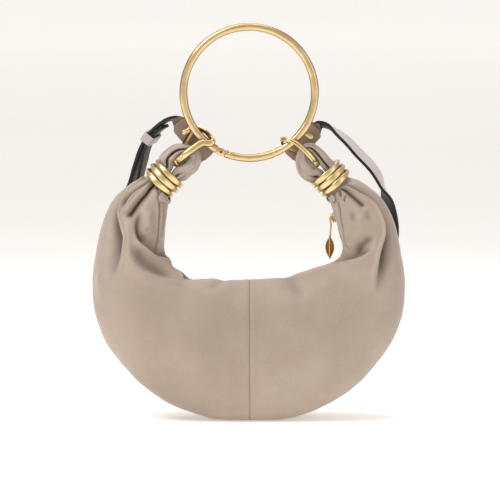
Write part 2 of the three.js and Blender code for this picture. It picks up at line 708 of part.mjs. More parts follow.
function strapStations(side, table) {
  const rows = tabStations(side);
  const places = table.map(([x, y, z]) => new THREE.Vector3(x * HALF_WIDTH, y * HALF_DEPTH, z * NECK_HEIGHT));
  table.forEach((entry, k) => {
    const before = k > 0 ? places[k - 1] : new THREE.Vector3(...rows[3].slice(0, 3));
    const after = places[Math.min(k + 1, places.length - 1)];
    const run = after.clone().sub(before).setY(0).normalize();
    const turn = radians(entry[3]);
    const flat = new THREE.Vector3().crossVectors(Y_AXIS, run).multiplyScalar(Math.sin(turn));
    const width = flat.addScaledVector(Y_AXIS, side * Math.cos(turn));
    const last = new THREE.Vector3(...rows[rows.length - 1].slice(3));
    rows.push(station(places[k], width.dot(last) < 0 ? width.negate() : width));
  });
  return rows;
}

function strapFrame(rows, share) {
  const step = 0.2 / rows.length;
  const place = (at) => new THREE.Vector3(...spline(rows, at).slice(0, 3));
  const centre = place(share);
  const run = place(Math.min(share + step, 1)).sub(place(Math.max(share - step, 0))).normalize();
  const width = new THREE.Vector3(...spline(rows, share).slice(3));
  width.addScaledVector(run, -width.dot(run)).normalize();
  return { centre, run, width, normal: new THREE.Vector3().crossVectors(run, width) };
}

function strap(rows, stepsEach) {
  const steps = (rows.length - 1) * stepsEach;
  const rings = [];
  for (let i = 0; i <= steps; i += 1) {
    const { centre, width, normal } = strapFrame(rows, i / steps);
    const half = (STRAP_WIDTH / 2) * (i === 0 ? 0.5 : 1);
    const corner = (w, t) =>
      centre.clone().addScaledVector(width, w * half).addScaledVector(normal, (t * STRAP_THICKNESS) / 2);
    rings.push([corner(-1, -1), corner(1, -1), corner(1, 1), corner(-1, 1)]);
  }
  return ringsToGeometry(rings);
}

function layerUnder(rows, offset) {
  // Stations of a second layer, inside the first one's bend, from its far end back to its free tip.
  const last = rows.length - 1;
  const layer = [];
  for (let k = last; k >= TAIL_STATION; k -= 0.5) {
    const { centre, width, normal } = strapFrame(rows, k / last);
    const loose = 1 + LAYER_SPREAD * Math.max(0, 5 - k);
    layer.push(station(centre.addScaledVector(normal, offset * loose), width));
  }
  return layer;
}

const KEEPER_STATION = 6;
const BUCKLE_STATION = 11.3;
const TAIL_STATION = 4.5;
const SHORT_ROWS = strapStations(-1, SHORT_STRAP);
// The second layer lies on the side of the short strap that faces the middle of the bag.
const INWARD = Math.sign(strapFrame(SHORT_ROWS, KEEPER_STATION / (SHORT_ROWS.length - 1)).normal.x);
const LAYER_OFFSET = INWARD * (STRAP_THICKNESS + LAYER_GAP);
const LONG_ROWS = joinRows(strapStations(1, LONG_STRAP), layerUnder(SHORT_ROWS, LAYER_OFFSET));

function joinRows(first, second) {
  const joined = [...first];
  for (const row of second) {
    const last = joined[joined.length - 1];
    const same = row[3] * last[3] + row[4] * last[4] + row[5] * last[5] >= 0;
    joined.push(same ? row : [...row.slice(0, 3), -row[3], -row[4], -row[5]]);
  }
  return joined;
}

function bandAround(place, length) {
  // A flat band round both layers of the strap, at a station of the short one.
  const { centre, run, width, normal } = strapFrame(SHORT_ROWS, place / (SHORT_ROWS.length - 1));
  const deep = Math.abs(LAYER_OFFSET) + STRAP_THICKNESS + 5 * GAP;
  const wide = STRAP_WIDTH + 5 * GAP;
  const middle = centre.clone().addScaledVector(normal, LAYER_OFFSET / 2);
  const basis = new THREE.Matrix4().makeBasis(run, width, normal).setPosition(middle);
  const outer = new THREE.BoxGeometry(length, wide + 2 * KEEPER_WALL, deep + 2 * KEEPER_WALL);
  const inner = new THREE.BoxGeometry(length * 2, wide, deep);
  return geometryOf(solidFrom(outer.applyMatrix4(basis)).subtract(solidFrom(inner.applyMatrix4(basis))));
}

// A lug behind the ring's bar carries the stud that holds each strap end.
function strapLug(angle) {
  const seat = ringPoint(angle, (RING_RADIUS + STUD_RADIUS) / 2, RING_ROD / 2 - LUG_THICKNESS / 2 - GAP);
  const long = STUD_RADIUS - RING_RADIUS + STUD_HEAD;
  const plate = boxAt([STUD_HEAD * 0.75, LUG_THICKNESS, long], seat, -radians(angle));
  const top = seat.y + LUG_THICKNESS / 2 - GAP;
  const back = TAB_PLANE + STRAP_THICKNESS / 2 + 2 * GAP;
  const foot = ringPoint(angle, STUD_RADIUS);
  const post = barAlongY(STUD_DIAMETER, back - top + GAP, foot.clone().setY((top + back + GAP) / 2), 12);
  const head = barAlongY(STUD_HEAD, STUD_HEAD_HEIGHT, foot.clone().setY(back + STUD_HEAD_HEIGHT / 2), 12);
  return plate.add(post).add(head);
}

function strapWithHole(rows, angle) {
  const place = ringPoint(angle, STUD_RADIUS, TAB_PLANE);
  const hole = barAlongY(STUD_DIAMETER + 2 * GAP, STRAP_THICKNESS * 3, place, 12);
  return geometryOf(solidFrom(strap(rows, STRAP_STEPS)).subtract(hole));
}

function add(group, name, geometry, surface) {
  const mesh = new THREE.Mesh(geometry, surface);
  mesh.name = name;
  group.add(mesh);
}

const bag = new THREE.Group();
add(bag, "body_left", bodyHalf(-1), leather);
add(bag, "body_right", bodyHalf(1), leather);
add(bag, "zip_tape", zipTape(), zipCloth);
add(bag, "zip_teeth", zipTeeth(), zipMetal);
add(bag, "zip_end_left", surfaceTab(LEFT_ZIP_END), darkLeather);
add(bag, "zip_end_right", surfaceTab(RIGHT_ZIP_END), darkLeather);
add(bag, "zip_slider", zipSlider(), gold);
add(bag, "zip_pull_loop", pullLoop(), gold);
add(bag, "zip_pull_charm", pullCharm(), gold);
add(bag, "neck_coil_left", coil(LEFT_NECK), gold);
add(bag, "neck_coil_right", coil(RIGHT_NECK), gold);
add(bag, "end_loop_left", eye(LEFT_NECK, LEFT_EYE), leather);
add(bag, "end_loop_right", eye(RIGHT_NECK, RIGHT_EYE), leather);
add(bag, "link_left", link(LEFT_NECK, LEFT_LINK_SEAT, LEFT_LINK), gold);
add(bag, "link_right", link(RIGHT_NECK, RIGHT_LINK_SEAT, RIGHT_LINK), gold);
add(bag, "ring_handle", ringHandle(), gold);
add(bag, "ring_gate", ringGate(), gold);
add(bag, "strap_short", strapWithHole(SHORT_ROWS, LEFT_STUD_ANGLE), paleLeather);
add(bag, "strap_long", strapWithHole(LONG_ROWS, RIGHT_STUD_ANGLE), paleLeather);
add(bag, "strap_keeper", bandAround(KEEPER_STATION, KEEPER_LENGTH), darkLeather);
add(bag, "strap_buckle", bandAround(BUCKLE_STATION, BUCKLE_LENGTH), gold);

export default bag;
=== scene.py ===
"""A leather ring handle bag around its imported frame, in millimetres: +Z is up and the front is -Y."""

import math

import bpy
import numpy as np
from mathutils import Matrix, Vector


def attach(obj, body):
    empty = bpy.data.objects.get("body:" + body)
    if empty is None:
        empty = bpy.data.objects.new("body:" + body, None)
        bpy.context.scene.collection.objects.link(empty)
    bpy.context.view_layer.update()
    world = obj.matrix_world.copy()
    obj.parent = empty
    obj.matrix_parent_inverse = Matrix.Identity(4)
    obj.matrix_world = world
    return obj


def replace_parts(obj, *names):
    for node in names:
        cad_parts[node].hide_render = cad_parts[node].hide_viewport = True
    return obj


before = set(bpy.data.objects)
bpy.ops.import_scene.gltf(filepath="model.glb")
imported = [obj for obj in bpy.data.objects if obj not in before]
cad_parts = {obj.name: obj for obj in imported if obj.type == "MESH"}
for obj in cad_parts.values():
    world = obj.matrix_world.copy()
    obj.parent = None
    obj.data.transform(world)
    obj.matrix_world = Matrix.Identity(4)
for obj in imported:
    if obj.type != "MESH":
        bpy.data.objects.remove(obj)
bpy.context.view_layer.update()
MM = 0.001

# Real sizes of the bag
BODY_WIDTH = 288.0
BODY_DEPTH = 104.0
SEAM_X = 2.0
NECK_HEIGHT = 220.0
NECK_SPREAD = 152.0
NECK_DIAMETER = 27.4
LEANS = {-1: math.radians(48), 1: math.radians(50)}
COIL_LENGTH = 18.6

# Camera and lights
VIEW_WIDTH = 460.0
CAMERA_DISTANCE = 6000.0
CAMERA_RISE = math.radians(5)
CAMERA_TARGET = (2.3, 0, 154.3)
SENSOR = 36.0

WORLD_STRENGTH = 0.5
BACKDROP_GLOW = 0.36

# name, place, energy in watts, size
LIGHTS = [
    ("key", (-1000, -900, 1500), 16, 700),
    ("fill", (1300, -900, 700), 3, 900),
    ("top", (0, 200, 1500), 7, 900),
    ("back", (-200, 1100, 900), 4, 900),
]


# Camera, backdrop and lights
def place_camera():
    camera = bpy.data.objects.new("camera", bpy.data.cameras.new("camera"))
    bpy.context.collection.objects.link(camera)
    target = Vector(CAMERA_TARGET) * MM
    away = Vector((0, -math.cos(CAMERA_RISE), math.sin(CAMERA_RISE)))
    camera.location = target + away * CAMERA_DISTANCE * MM
    camera.rotation_euler = (-away).to_track_quat("-Z", "Y").to_euler()
    camera.data.sensor_width = SENSOR
    camera.data.lens = SENSOR * CAMERA_DISTANCE / VIEW_WIDTH
    camera.data.clip_end = 30
    bpy.context.scene.camera = camera


def place_light(name, place, energy, size):
    data = bpy.data.lights.new(name, "AREA")
    data.energy = energy
    data.size = size * MM
    light = bpy.data.objects.new(name, data)
    light.location = Vector(place) * MM
    light.rotation_euler = (Vector(CAMERA_TARGET) * MM - light.location).to_track_quat("-Z", "Y").to_euler()
    bpy.context.collection.objects.link(light)


# Shader helpers
class Shader:
    """A node material whose colour, roughness and bump come from noise in the object's own space."""

    def __init__(self, name):
        self.material = bpy.data.materials.new(name)
        self.material.use_nodes = True
        self.tree = self.material.node_tree
        self.bsdf = self.tree.nodes["Principled BSDF"]
        self.coordinates = self.tree.nodes.new("ShaderNodeTexCoord").outputs["Object"]

    def node(self, kind, **settings):
        made = self.tree.nodes.new(kind)
        for key, value in settings.items():
            setattr(made, key, value)
        return made

    def link(self, out, into):
        self.tree.links.new(out, into)

    def noise(self, scale, detail=3, vector=None, roughness=0.5):
        made = self.node("ShaderNodeTexNoise")
        made.inputs["Scale"].default_value = scale
        made.inputs["Detail"].default_value = detail
        made.inputs["Roughness"].default_value = roughness
        self.link(vector or self.coordinates, made.inputs["Vector"])
        return made.outputs["Fac"]

    def cells(self, scale, feature="F1"):
        made = self.node("ShaderNodeTexVoronoi", feature=feature)
        made.inputs["Scale"].default_value = scale
        self.link(self.coordinates, made.inputs["Vector"])
        return made.outputs["Distance"]

    def ramp(self, value, stops):
        made = self.node("ShaderNodeValToRGB")
        band = made.color_ramp
        band.elements[0].position, band.elements[0].color = stops[0][0], srgb(stops[0][1])
        band.elements[1].position, band.elements[1].color = stops[-1][0], srgb(stops[-1][1])
        for position, colour in stops[1:-1]:
            band.elements.new(position).color = srgb(colour)
        self.link(value, made.inputs["Fac"])
        return made.outputs["Color"]

    def mix(self, share, first, second, blend="MIX"):
        made = self.node("ShaderNodeMix", data_type="RGBA", blend_type=blend)
        for value, socket in ((share, made.inputs[0]), (first, made.inputs[6]), (second, made.inputs[7])):
            if isinstance(value, bpy.types.NodeSocket):
                self.link(value, socket)
            else:
                socket.default_value = value
        return made.outputs[2]

    def spread(self, value, low, high):
        made = self.node("ShaderNodeMapRange")
        made.inputs["To Min"].default_value = low
        made.inputs["To Max"].default_value = high
        self.link(value, made.inputs["Value"])
        return made.outputs["Result"]

    def bump(self, height, strength, distance, under=None):
        made = self.node("ShaderNodeBump")
        made.inputs["Strength"].default_value = strength
        made.inputs["Distance"].default_value = distance * MM
        self.link(height, made.inputs["Height"])
        if under:
            self.link(under, made.inputs["Normal"])
        return made.outputs["Normal"]

    def attribute(self, name):
        return self.node("ShaderNodeAttribute", attribute_name=name).outputs["Fac"]

    def set(self, **values):
        for key, value in values.items():
            socket = self.bsdf.inputs[key.replace("_", " ")]
            if isinstance(value, bpy.types.NodeSocket):
                self.link(value, socket)
            else:
                socket.default_value = value
        return self.material


def srgb(colour):
    linear = [(c / 255 / 12.92) if c / 255 <= 0.04045 else ((c / 255 + 0.055) / 1.055) ** 2.4 for c in colour]
    return (*linear, 1.0)


def leather_material(name, light, middle, dark, painted_shade, grain=0.35, roughness=0.5, sheen=0.15):
    """Smooth grained leather: cloudy colour, pores and creases, and painted shade multiplied in from a point
    attribute.
    """
    s = Shader(name)
    cloud = s.noise(14, 5)
    colour = s.ramp(cloud, [(0.3, dark), (0.5, middle), (0.72, light)])
    speckle = s.ramp(s.noise(1500, 2), [(0.35, (228, 224, 220)), (0.65, (255, 255, 255))])
    colour = s.mix(0.5, colour, speckle, "MULTIPLY")
    # Painted shade: the point attribute draws the colour towards the shade colour.
    colour = s.mix(s.attribute("painted_shade"), colour, srgb(painted_shade), "MULTIPLY")
    pores = s.bump(s.cells(850), grain, 0.12)
    wrinkles = s.bump(s.noise(260, 4), 0.25, 0.35, pores)
    soft = s.bump(s.noise(45, 3), 0.25, 1.2, wrinkles)
    rough = s.spread(s.noise(60, 4), roughness - 0.07, roughness + 0.07)
    s.set(Base_Color=colour, Roughness=rough, Normal=soft, Sheen_Weight=sheen, Sheen_Roughness=0.4)
    return s.set(Specular_IOR_Level=0.45)


def gold_material(name, light, dark, roughness=0.2, hammered=0.4, dents=190, painted_shade=(150, 108, 66)):
    """Polished gold with soft hammer dents, fine rubbing marks, and painted shade in its hollows and on its edges.
    """
    s = Shader(name)
    colour = s.ramp(s.noise(90, 4), [(0.3, dark), (0.7, light)])
    # Painted shade from the point attribute.
    colour = s.mix(s.attribute("painted_shade"), colour, srgb(painted_shade), "MULTIPLY")
    dented = s.bump(s.cells(dents, "SMOOTH_F1"), hammered, 0.7)
    marks = s.bump(s.noise(1800, 2), 0.12, 0.05, dented)
    rough = s.spread(s.noise(420, 4), roughness - 0.05, roughness + 0.09)
    return s.set(Base_Color=colour, Metallic=1.0, Roughness=rough, Normal=marks)


def paint_material(name, light, dark, roughness=0.45):
    """Edge paint: nearly plain, a little uneven and rubbed."""
    s = Shader(name)
    colour = s.ramp(s.noise(160, 4), [(0.35, dark), (0.75, light)])
    uneven = s.bump(s.noise(420, 3), 0.3, 0.15)
    rough = s.spread(s.noise(300, 3), roughness - 0.1, roughness + 0.1)
    return s.set(Base_Color=colour, Roughness=rough, Normal=uneven)


def cloth_material(name, light, dark):
    """Woven zip tape: fine ribs across its run and a matt surface."""
    s = Shader(name)
    ribs = s.node("ShaderNodeTexWave", wave_type="BANDS", bands_direction="X")
    ribs.inputs["Scale"].default_value = 420
    ribs.inputs["Distortion"].default_value = 1.5
    s.link(s.coordinates, ribs.inputs["Vector"])
    colour = s.ramp(ribs.outputs["Fac"], [(0.2, dark), (0.8, light)])
    woven = s.bump(ribs.outputs["Fac"], 0.5, 0.2, s.bump(s.noise(1400, 2), 0.4, 0.1))
    return s.set(Base_Color=colour, Roughness=0.9, Normal=woven, Sheen_Weight=0.3)


def backdrop_material():
    s = Shader("studio_white")
    colour = s.ramp(s.noise(2, 2), [(0.3, (244, 242, 240)), (0.7, (246, 244, 242))])
    s.set(Emission_Color=srgb((255, 252, 249)), Emission_Strength=BACKDROP_GLOW)
    return s.set(Base_Color=colour, Roughness=0.9, Specular_IOR_Level=0.0)


# Mesh helpers
def make_piece(name, points, faces, material, body="bag", slot=None, smooth=True):
    mesh = bpy.data.meshes.new(name)
    mesh.from_pydata((np.asarray(points) * MM).tolist(), [], [tuple(int(i) for i in face) for face in faces])
    mesh.validate()
    mesh.polygons.foreach_set("use_smooth", [smooth] * len(mesh.polygons))
    materials = material if isinstance(material, (list, tuple)) else [material]
    for one in materials:
        mesh.materials.append(one)
    piece = bpy.data.objects.new(name, mesh)
    bpy.context.collection.objects.link(piece)
    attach(piece, body)
    return piece


def grid_faces(rows, columns, closed_rows=False, closed_columns=False):
    """Quads over a grid of points stored row by row."""
    row = np.arange(rows if closed_rows else rows - 1)
    column = np.arange(columns if closed_columns else columns - 1)
    r, c = np.meshgrid(row, column, indexing="ij")
    r2, c2 = (r + 1) % rows, (c + 1) % columns
    quads = np.stack([r * columns + c, r * columns + c2, r2 * columns + c2, r2 * columns + c], axis=-1)
    return quads.reshape(-1, 4)


def spline(rows, share):
    """Catmull-Rom through rows at each share from 0 to 1, one row of result for each share."""
    rows = np.asarray(rows, float)
    last = len(rows) - 1
    place = np.clip(np.asarray(share, float), 0, 1) * last
    i = np.minimum(place.astype(int), last - 1)
    f = (place - i)[..., None]
    p0, p1, p2, p3 = rows[np.maximum(i - 1, 0)], rows[i], rows[i + 1], rows[np.minimum(i + 2, last)]
    cubic = 3 * p1 - p0 - 3 * p2 + p3
    return 0.5 * (2 * p1 + (p2 - p0) * f + (2 * p0 - 5 * p1 + 4 * p2 - p3) * f**2 + cubic * f**3)


def closed_spline(rows, share):
    rows = np.asarray(rows, float)
    share = np.asarray(share, float) % 1
    count = len(rows)
    i = np.minimum((share * count).astype(int), count - 1)
    f = (share * count - i)[..., None]
    p0, p1, p2, p3 = (rows[(i + k) % count] for k in (-1, 0, 1, 2))
    cubic = 3 * p1 - p0 - 3 * p2 + p3
    return 0.5 * (2 * p1 + (p2 - p0) * f + (2 * p0 - 5 * p1 + 4 * p2 - p3) * f**2 + cubic * f**3)


def smooth_step(value, start, end):
    t = np.clip((np.asarray(value, float) - start) / (end - start), 0, 1)
    return t * t * (3 - 2 * t)


def bell(distance, width=1.0):
    return np.exp(-((distance / width) ** 2))


def squared(values, power):
    """Draws a circle's places out towards a square, the more the lower the power."""
    return np.copysign(np.abs(values) ** power, values)


def unit(vectors):
    length = np.linalg.norm(vectors, axis=-1, keepdims=True)
    return vectors / np.maximum(length, 1e-9)


def set_painted_shade(piece, values):
    """Writes the share of painted shade at each point, which the leather's shader reads."""
    layer = piece.data.attributes.new("painted_shade", "FLOAT", "POINT")
    layer.data.foreach_set("value", np.clip(values, 0, 1).astype(np.float32))


# Leathers: light, middle, dark and painted-shade colour, then grain, roughness and sheen where they differ
LEATHER = leather_material(
    "leather", (186, 170, 155), (175, 158, 143), (165, 148, 133), (104, 84, 68))
STRAP_LEATHER = leather_material(
    "strap_leather", (222, 213, 209), (213, 204, 200), (204, 194, 189), (140, 125, 115), 0.25)
TRIM_LEATHER = leather_material(
    "trim_leather", (168, 145, 122), (150, 128, 108), (134, 113, 95), (90, 70, 55), 0.4, 0.5)
KEEPER_LEATHER = leather_material(
    "keeper_leather", (196, 186, 182), (182, 171, 166), (168, 157, 151), (120, 100, 90), 0.3)
TAB_LEATHER = leather_material(
    "tab_leather", (190, 180, 166), (178, 167, 152), (164, 152, 138), (96, 80, 66), 0.3)
LINING = leather_material(
    "strap_lining", (46, 38, 36), (36, 30, 28), (28, 23, 22), (20, 16, 15), 0.3, 0.6, 0.05)
LOOP_LEATHER = leather_material(
    "loop_leather", (196, 182, 172), (182, 166, 154), (168, 150, 136), (100, 72, 52), 0.3, 0.42)

# Paint, thread and cloth: light and dark colour
THREAD = paint_material("thread", (214, 204, 196), (188, 176, 166), 0.75)
EDGE_PAINT = paint_material("edge_paint", (24, 19, 18), (12, 10, 9), 0.6)
ZIP_CLOTH = cloth_material("zip_cloth", (96, 78, 64), (58, 44, 36))

# Golds: light and dark colour, roughness, dents and their number, colour of the painted shade
GOLD = gold_material("gold", (232, 206, 158), (216, 188, 136), 0.3, 0.2, 110)
COIL_GOLD = gold_material("coil_gold", (240, 216, 160), (226, 198, 138), 0.3, 0.2, 90, (104, 76, 46))
DARK_GOLD = gold_material("dark_gold", (170, 134, 80), (120, 90, 50), 0.34, 0.2, 500)
ZIP_GOLD = gold_material("zip_gold", (236, 210, 150), (206, 176, 116), 0.32, 0.2, 700, (150, 124, 84))

BACKDROP = backdrop_material()


# The body's surface, repeated from the frame: sections from under the neck to the middle seam.
# columns: innerLeft, topLeft, innerRight, topRight, outer, rim, depth, belly (0 is a tube, 1 a pouch)
SECTIONS = [
    (0.5, 0.911, 0.517, 0.914, 0.722, 0.989, 0.375, 0.05),
    (0.51, 0.868, 0.538, 0.868, 0.854, 0.918, 0.5, 0.15),
    (0.517, 0.818, 0.559, 0.818, 0.931, 0.818, 0.615, 0.3),
    (0.524, 0.764, 0.576, 0.768, 0.976, 0.691, 0.712, 0.45),
    (0.528, 0.709, 0.59, 0.718, 1, 0.564, 0.798, 0.6),
    (0.493, 0.655, 0.549, 0.668, 0.976, 0.418, 0.885, 0.8),
    (0.396, 0.595, 0.424, 0.634, 0.861, 0.264, 0.952, 0.95),
    (0.264, 0.574, 0.285, 0.593, 0.639, 0.114, 0.99, 1),
    (0.132, 0.568, 0.132, 0.57, 0.333, 0.014, 1, 1),
    (0, 0.568, 0, 0.568, 0, -0.014, 1, 1),
]
POUCH_OUTLINE = [
    (0.055, 0.13), (0, 0.27), (-0.005, 0.44), (0.05, 0.64), (0.17, 0.83), (0.36, 0.96),
    (0.56, 1), (0.75, 0.93), (0.9, 0.77), (0.985, 0.48), (1, 0),
]
SLIT_TURN = math.radians(8)


WORDS = {-1: "left", 1: "right"}


def neck_frame(side):
    """Centre of a coil, the axis up out of the body and the direction to the outside."""
    lean = LEANS[side]
    centre = np.array([side * NECK_SPREAD / 2, 0, NECK_HEIGHT])
    axis = np.array([-side * math.cos(lean), 0, math.sin(lean)])
    out = np.array([side * math.sin(lean), 0, math.cos(lean)])
    return centre, axis, out


def side_stations(side):
    centre, axis, out = neck_frame(side)
    rows = []
    for along in (COIL_LENGTH / 3, -COIL_LENGTH / 2):
        inner = centre + axis * along - out * NECK_DIAMETER / 2
        outer = centre + axis * along + out * NECK_DIAMETER / 2
        rows.append((inner[0], inner[2], outer[0], outer[2], NECK_DIAMETER / 2, 0))
    for k, row in enumerate(SECTIONS):
        shift = SEAM_X * (k + 1) / len(SECTIONS)
        inner, top = (row[0], row[1]) if side < 0 else (row[2], row[3])
        rows.append((
            side * inner * BODY_WIDTH / 2 + shift, top * NECK_HEIGHT,
            side * row[4] * BODY_WIDTH / 2 + shift, row[5] * NECK_HEIGHT, row[6] * BODY_DEPTH / 2, row[7],
        ))
    return rows


STATIONS = np.array(side_stations(-1) + side_stations(1)[::-1][1:])


def smooth_point(along, around):
    """Points of the smooth surface: along from neck to neck, around from the front zip edge to the back."""
    along, around = np.broadcast_arrays(np.asarray(along, float), np.asarray(around, float))
    station = spline(STATIONS, along)
    half = np.where(around <= 0.5, around, 1 - around) * 2
    turn = SLIT_TURN + (math.pi - SLIT_TURN) * half
    tube = np.stack([(1 - np.cos(turn)) / 2, np.sin(turn)], axis=-1)
    belly = station[..., 5:6]
    outline = spline(POUCH_OUTLINE, half) * belly + tube * (1 - belly)
    x = station[..., 0] + (station[..., 2] - station[..., 0]) * outline[..., 0]
    z = station[..., 1] + (station[..., 3] - station[..., 1]) * outline[..., 0]
    y = outline[..., 1] * station[..., 4] * np.where(around <= 0.5, -1, 1)
    return np.stack([x, y, z], axis=-1)


def smooth_normal(along, around):
    step = 0.002
    a0, a1 = np.clip(along - step, 0, 1), np.clip(along + step, 0, 1)
    b0, b1 = np.clip(around - step, 0, 1), np.clip(around + step, 0, 1)
    run = smooth_point(a1, around) - smooth_point(a0, around)
    turn = smooth_point(along, b1) - smooth_point(along, b0)
    return -unit(np.cross(run, turn))


# Folds of the front, each a path over the surface (along, around) that runs down from its neck.
# left, right: how far the leather lies in (+) or stands out (-) on each side of the path, seen from the
# front, and how wide that is; crests: how far it stands out just beyond; widths: share at the path's two
# ends; fades: share of the path over which it starts and ends; dark: how much painted shade darkens the hollow.
# columns: left, right, left width, right width, crests, widths, fades, dark, path
FOLDS = [
    # left half: three creases that run out of the coil, the outermost the longest
    (6.5, 6.5, 1.8, 8.5, (2.8, 0.4), (0.5, 1.4), (0.02, 0.4), 0.95,
     [(0.057, 0.5), (0.091, 0.433), (0.11, 0.425), (0.128, 0.398), (0.146, 0.383), (0.161, 0.375),
      (0.177, 0.348), (0.195, 0.322), (0.208, 0.308), (0.228, 0.308), (0.248, 0.313), (0.269, 0.33),
      (0.285, 0.35)]),
    (2.6, 2.6, 1.3, 1.5, (1.2, 0.8), (0.8, 1.3), (0.02, 0.3), 0.75,
     [(0.046, 0.348), (0.084, 0.347), (0.107, 0.36), (0.124, 0.357), (0.139, 0.352), (0.153, 0.348)]),
    (5.5, 5.5, 4.6, 1.5, (0.8, 1.8), (0.6, 1.4), (0.02, 0.16), 1.0,
     [(0.043, 0.307), (0.092, 0.28), (0.12, 0.278), (0.146, 0.287), (0.168, 0.308)]),
    (2.4, 2.4, 1.3, 1.3, (0.6, 0.6), (1, 1), (0.1, 0.4), 0.8,
     [(0.044, 0.255), (0.064, 0.205), (0.091, 0.165)]),
    # left half: soft pleat beside the zip, with a hollow round its left side and under it
    (4, 4, 4, 3.6, (0.9, 0.3), (0.8, 0.9), (0.25, 0.3), 0.7,
     [(0.146, 0.242), (0.169, 0.243), (0.192, 0.24), (0.21, 0.225), (0.219, 0.202), (0.22, 0.165)]),
    (-2.6, -2.6, 4.4, 4.4, (-0.6, 0), (0.8, 1), (0.3, 0.15), 0,
     [(0.135, 0.195), (0.168, 0.19), (0.197, 0.188)]),
    # left half: the front panel's crest over the sunken panel, then a hollow, then the long ridge
    (5.6, -2, 15, 6, (0, 0), (0.5, 0.8), (0.3, 0.04), 0.55,
     [(0.162, 0.258), (0.182, 0.248), (0.201, 0.24), (0.221, 0.22), (0.246, 0.18), (0.279, 0.132),
      (0.326, 0.027), (0.361, 0.12)]),
    (5, 5, 7.5, 7.5, (0, 0), (0.6, 0.9), (0.25, 0.3), 0.45,
     [(0.219, 0.252), (0.257, 0.22), (0.291, 0.187), (0.323, 0.158), (0.346, 0.133)]),
    (-4.4, -4.4, 3.6, 7, (-0.8, -0.5), (0.7, 1.6), (0.25, 0.35), 0,
     [(0.173, 0.307), (0.2, 0.278), (0.226, 0.27), (0.253, 0.258), (0.284, 0.235), (0.309, 0.212),
      (0.333, 0.188), (0.354, 0.173), (0.382, 0.175), (0.416, 0.185)]),
    (-3.2, -3.2, 8, 8, (-0.9, -0.6), (0.8, 1.2), (0.35, 0.45), 0,
     [(0.248, 0.4), (0.274, 0.378), (0.31, 0.355)]),
    # right half: the long crease and the short ones beside it
    (6.5, 6.5, 9, 1.7, (0.4, 2.8), (0.25, 1.3), (0.02, 0.35), 0.95,
     [(0.937, 0.3), (0.904, 0.323), (0.882, 0.348), (0.862, 0.37), (0.844, 0.378), (0.824, 0.38),
      (0.807, 0.37), (0.793, 0.353), (0.779, 0.333), (0.762, 0.315), (0.729, 0.295), (0.699, 0.297),
      (0.681, 0.308)]),
    (3.8, 3.8, 1.5, 2.8, (1.2, 0.8), (0.5, 1.5), (0.02, 0.12), 0.85,
     [(0.941, 0.257), (0.906, 0.263), (0.887, 0.272), (0.871, 0.283), (0.861, 0.298)]),
    (2.2, 2.2, 1.3, 1.3, (0.6, 0.6), (1, 1), (0.1, 0.4), 0.8,
     [(0.938, 0.232), (0.909, 0.19), (0.895, 0.172)]),
    (1.5, 1.5, 1, 1, (0.5, 0.5), (1, 1), (0.3, 0.3), 0.8,
     [(0.9, 0.23), (0.891, 0.197), (0.883, 0.177)]),
    # right half: soft hollows between the creases and the zip
    (2, 2, 4, 4, (0.3, 0.3), (1, 1), (0.4, 0.4), 0.3,
     [(0.859, 0.2), (0.841, 0.193), (0.82, 0.178)]),
    (2, 2, 5, 4, (0.3, 0.3), (1, 1), (0.4, 0.4), 0.3,
     [(0.856, 0.295), (0.839, 0.285), (0.823, 0.282)]),
    (5, 5, 6, 5, (0.6, 0.6), (0.9, 1), (0.3, 0.3), 0.6,
     [(0.802, 0.295), (0.781, 0.242), (0.756, 0.197), (0.715, 0.15)]),
    (-2, -2, 5, 5, (-0.3, -0.3), (1, 1), (0.35, 0.35), 0,
     [(0.849, 0.247), (0.823, 0.23), (0.797, 0.23)]),
    # right half: the front panel's crest
    (-2, 5, 9, 9, (0, 0), (0.7, 1), (0.3, 0.05), 0.5,
     [(0.774, 0.275), (0.756, 0.24), (0.737, 0.203), (0.714, 0.163), (0.692, 0.127), (0.673, 0.098)]),
    (2.6, 2.6, 7, 7, (0.3, 0.3), (1, 1), (0.4, 0.4), 0.25,
     [(0.571, 0.003), (0.585, 0.168), (0.607, 0.193)]),
    # a shallow dent beside the middle seam
    (1.6, 1.6, 5, 5, (0.4, 0.4), (1, 1), (0.4, 0.4), 0.15,
     [(0.399, 0.128), (0.427, 0.132), (0.456, 0.035)]),
]

# Stitched-down seams that run beside the zip: depth, width, path
PLACKET_SEAMS = [
    (1.2, 1.0, [(0.105, 0.15), (0.14, 0.12), (0.192, 0.115), (0.243, 0.113), (0.277, 0.12)]),
    (0.8, 0.8, [(0.119, 0.093), (0.158, 0.072), (0.194, 0.075), (0.229, 0.088)]),
    (1.2, 1.0, [(0.899, 0.138), (0.868, 0.12), (0.832, 0.108), (0.789, 0.11), (0.749, 0.113), (0.731, 0.135)]),
    (0.8, 0.8, [(0.866, 0.057), (0.821, 0.0), (0.783, 0.033), (0.744, 0.043)]),
]


def from_path(points, line):
    """Distance of each point to a line, the share of the line's length there, and the side, + on its left."""
    gaps = np.linalg.norm(np.diff(line, axis=0), axis=1)
    starts = np.concatenate([[0], np.cumsum(gaps)])
    best = np.full(len(points), 1e9)
    share = np.zeros(len(points))
    side = np.ones(len(points))
    for k in range(len(line) - 1):
        run = line[k + 1] - line[k]
        offset = points - line[k]
        t = np.clip(offset @ run / (run @ run), 0, 1)
        rest = offset - t[:, None] * run
        distance = np.linalg.norm(rest, axis=1)
        closer = distance < best
        best[closer] = distance[closer]
        share[closer] = (starts[k] + t[closer] * gaps[k]) / starts[-1]
        side[closer] = np.sign(run[0] * rest[closer, 2] - run[2] * rest[closer, 0])
    return best, share, side


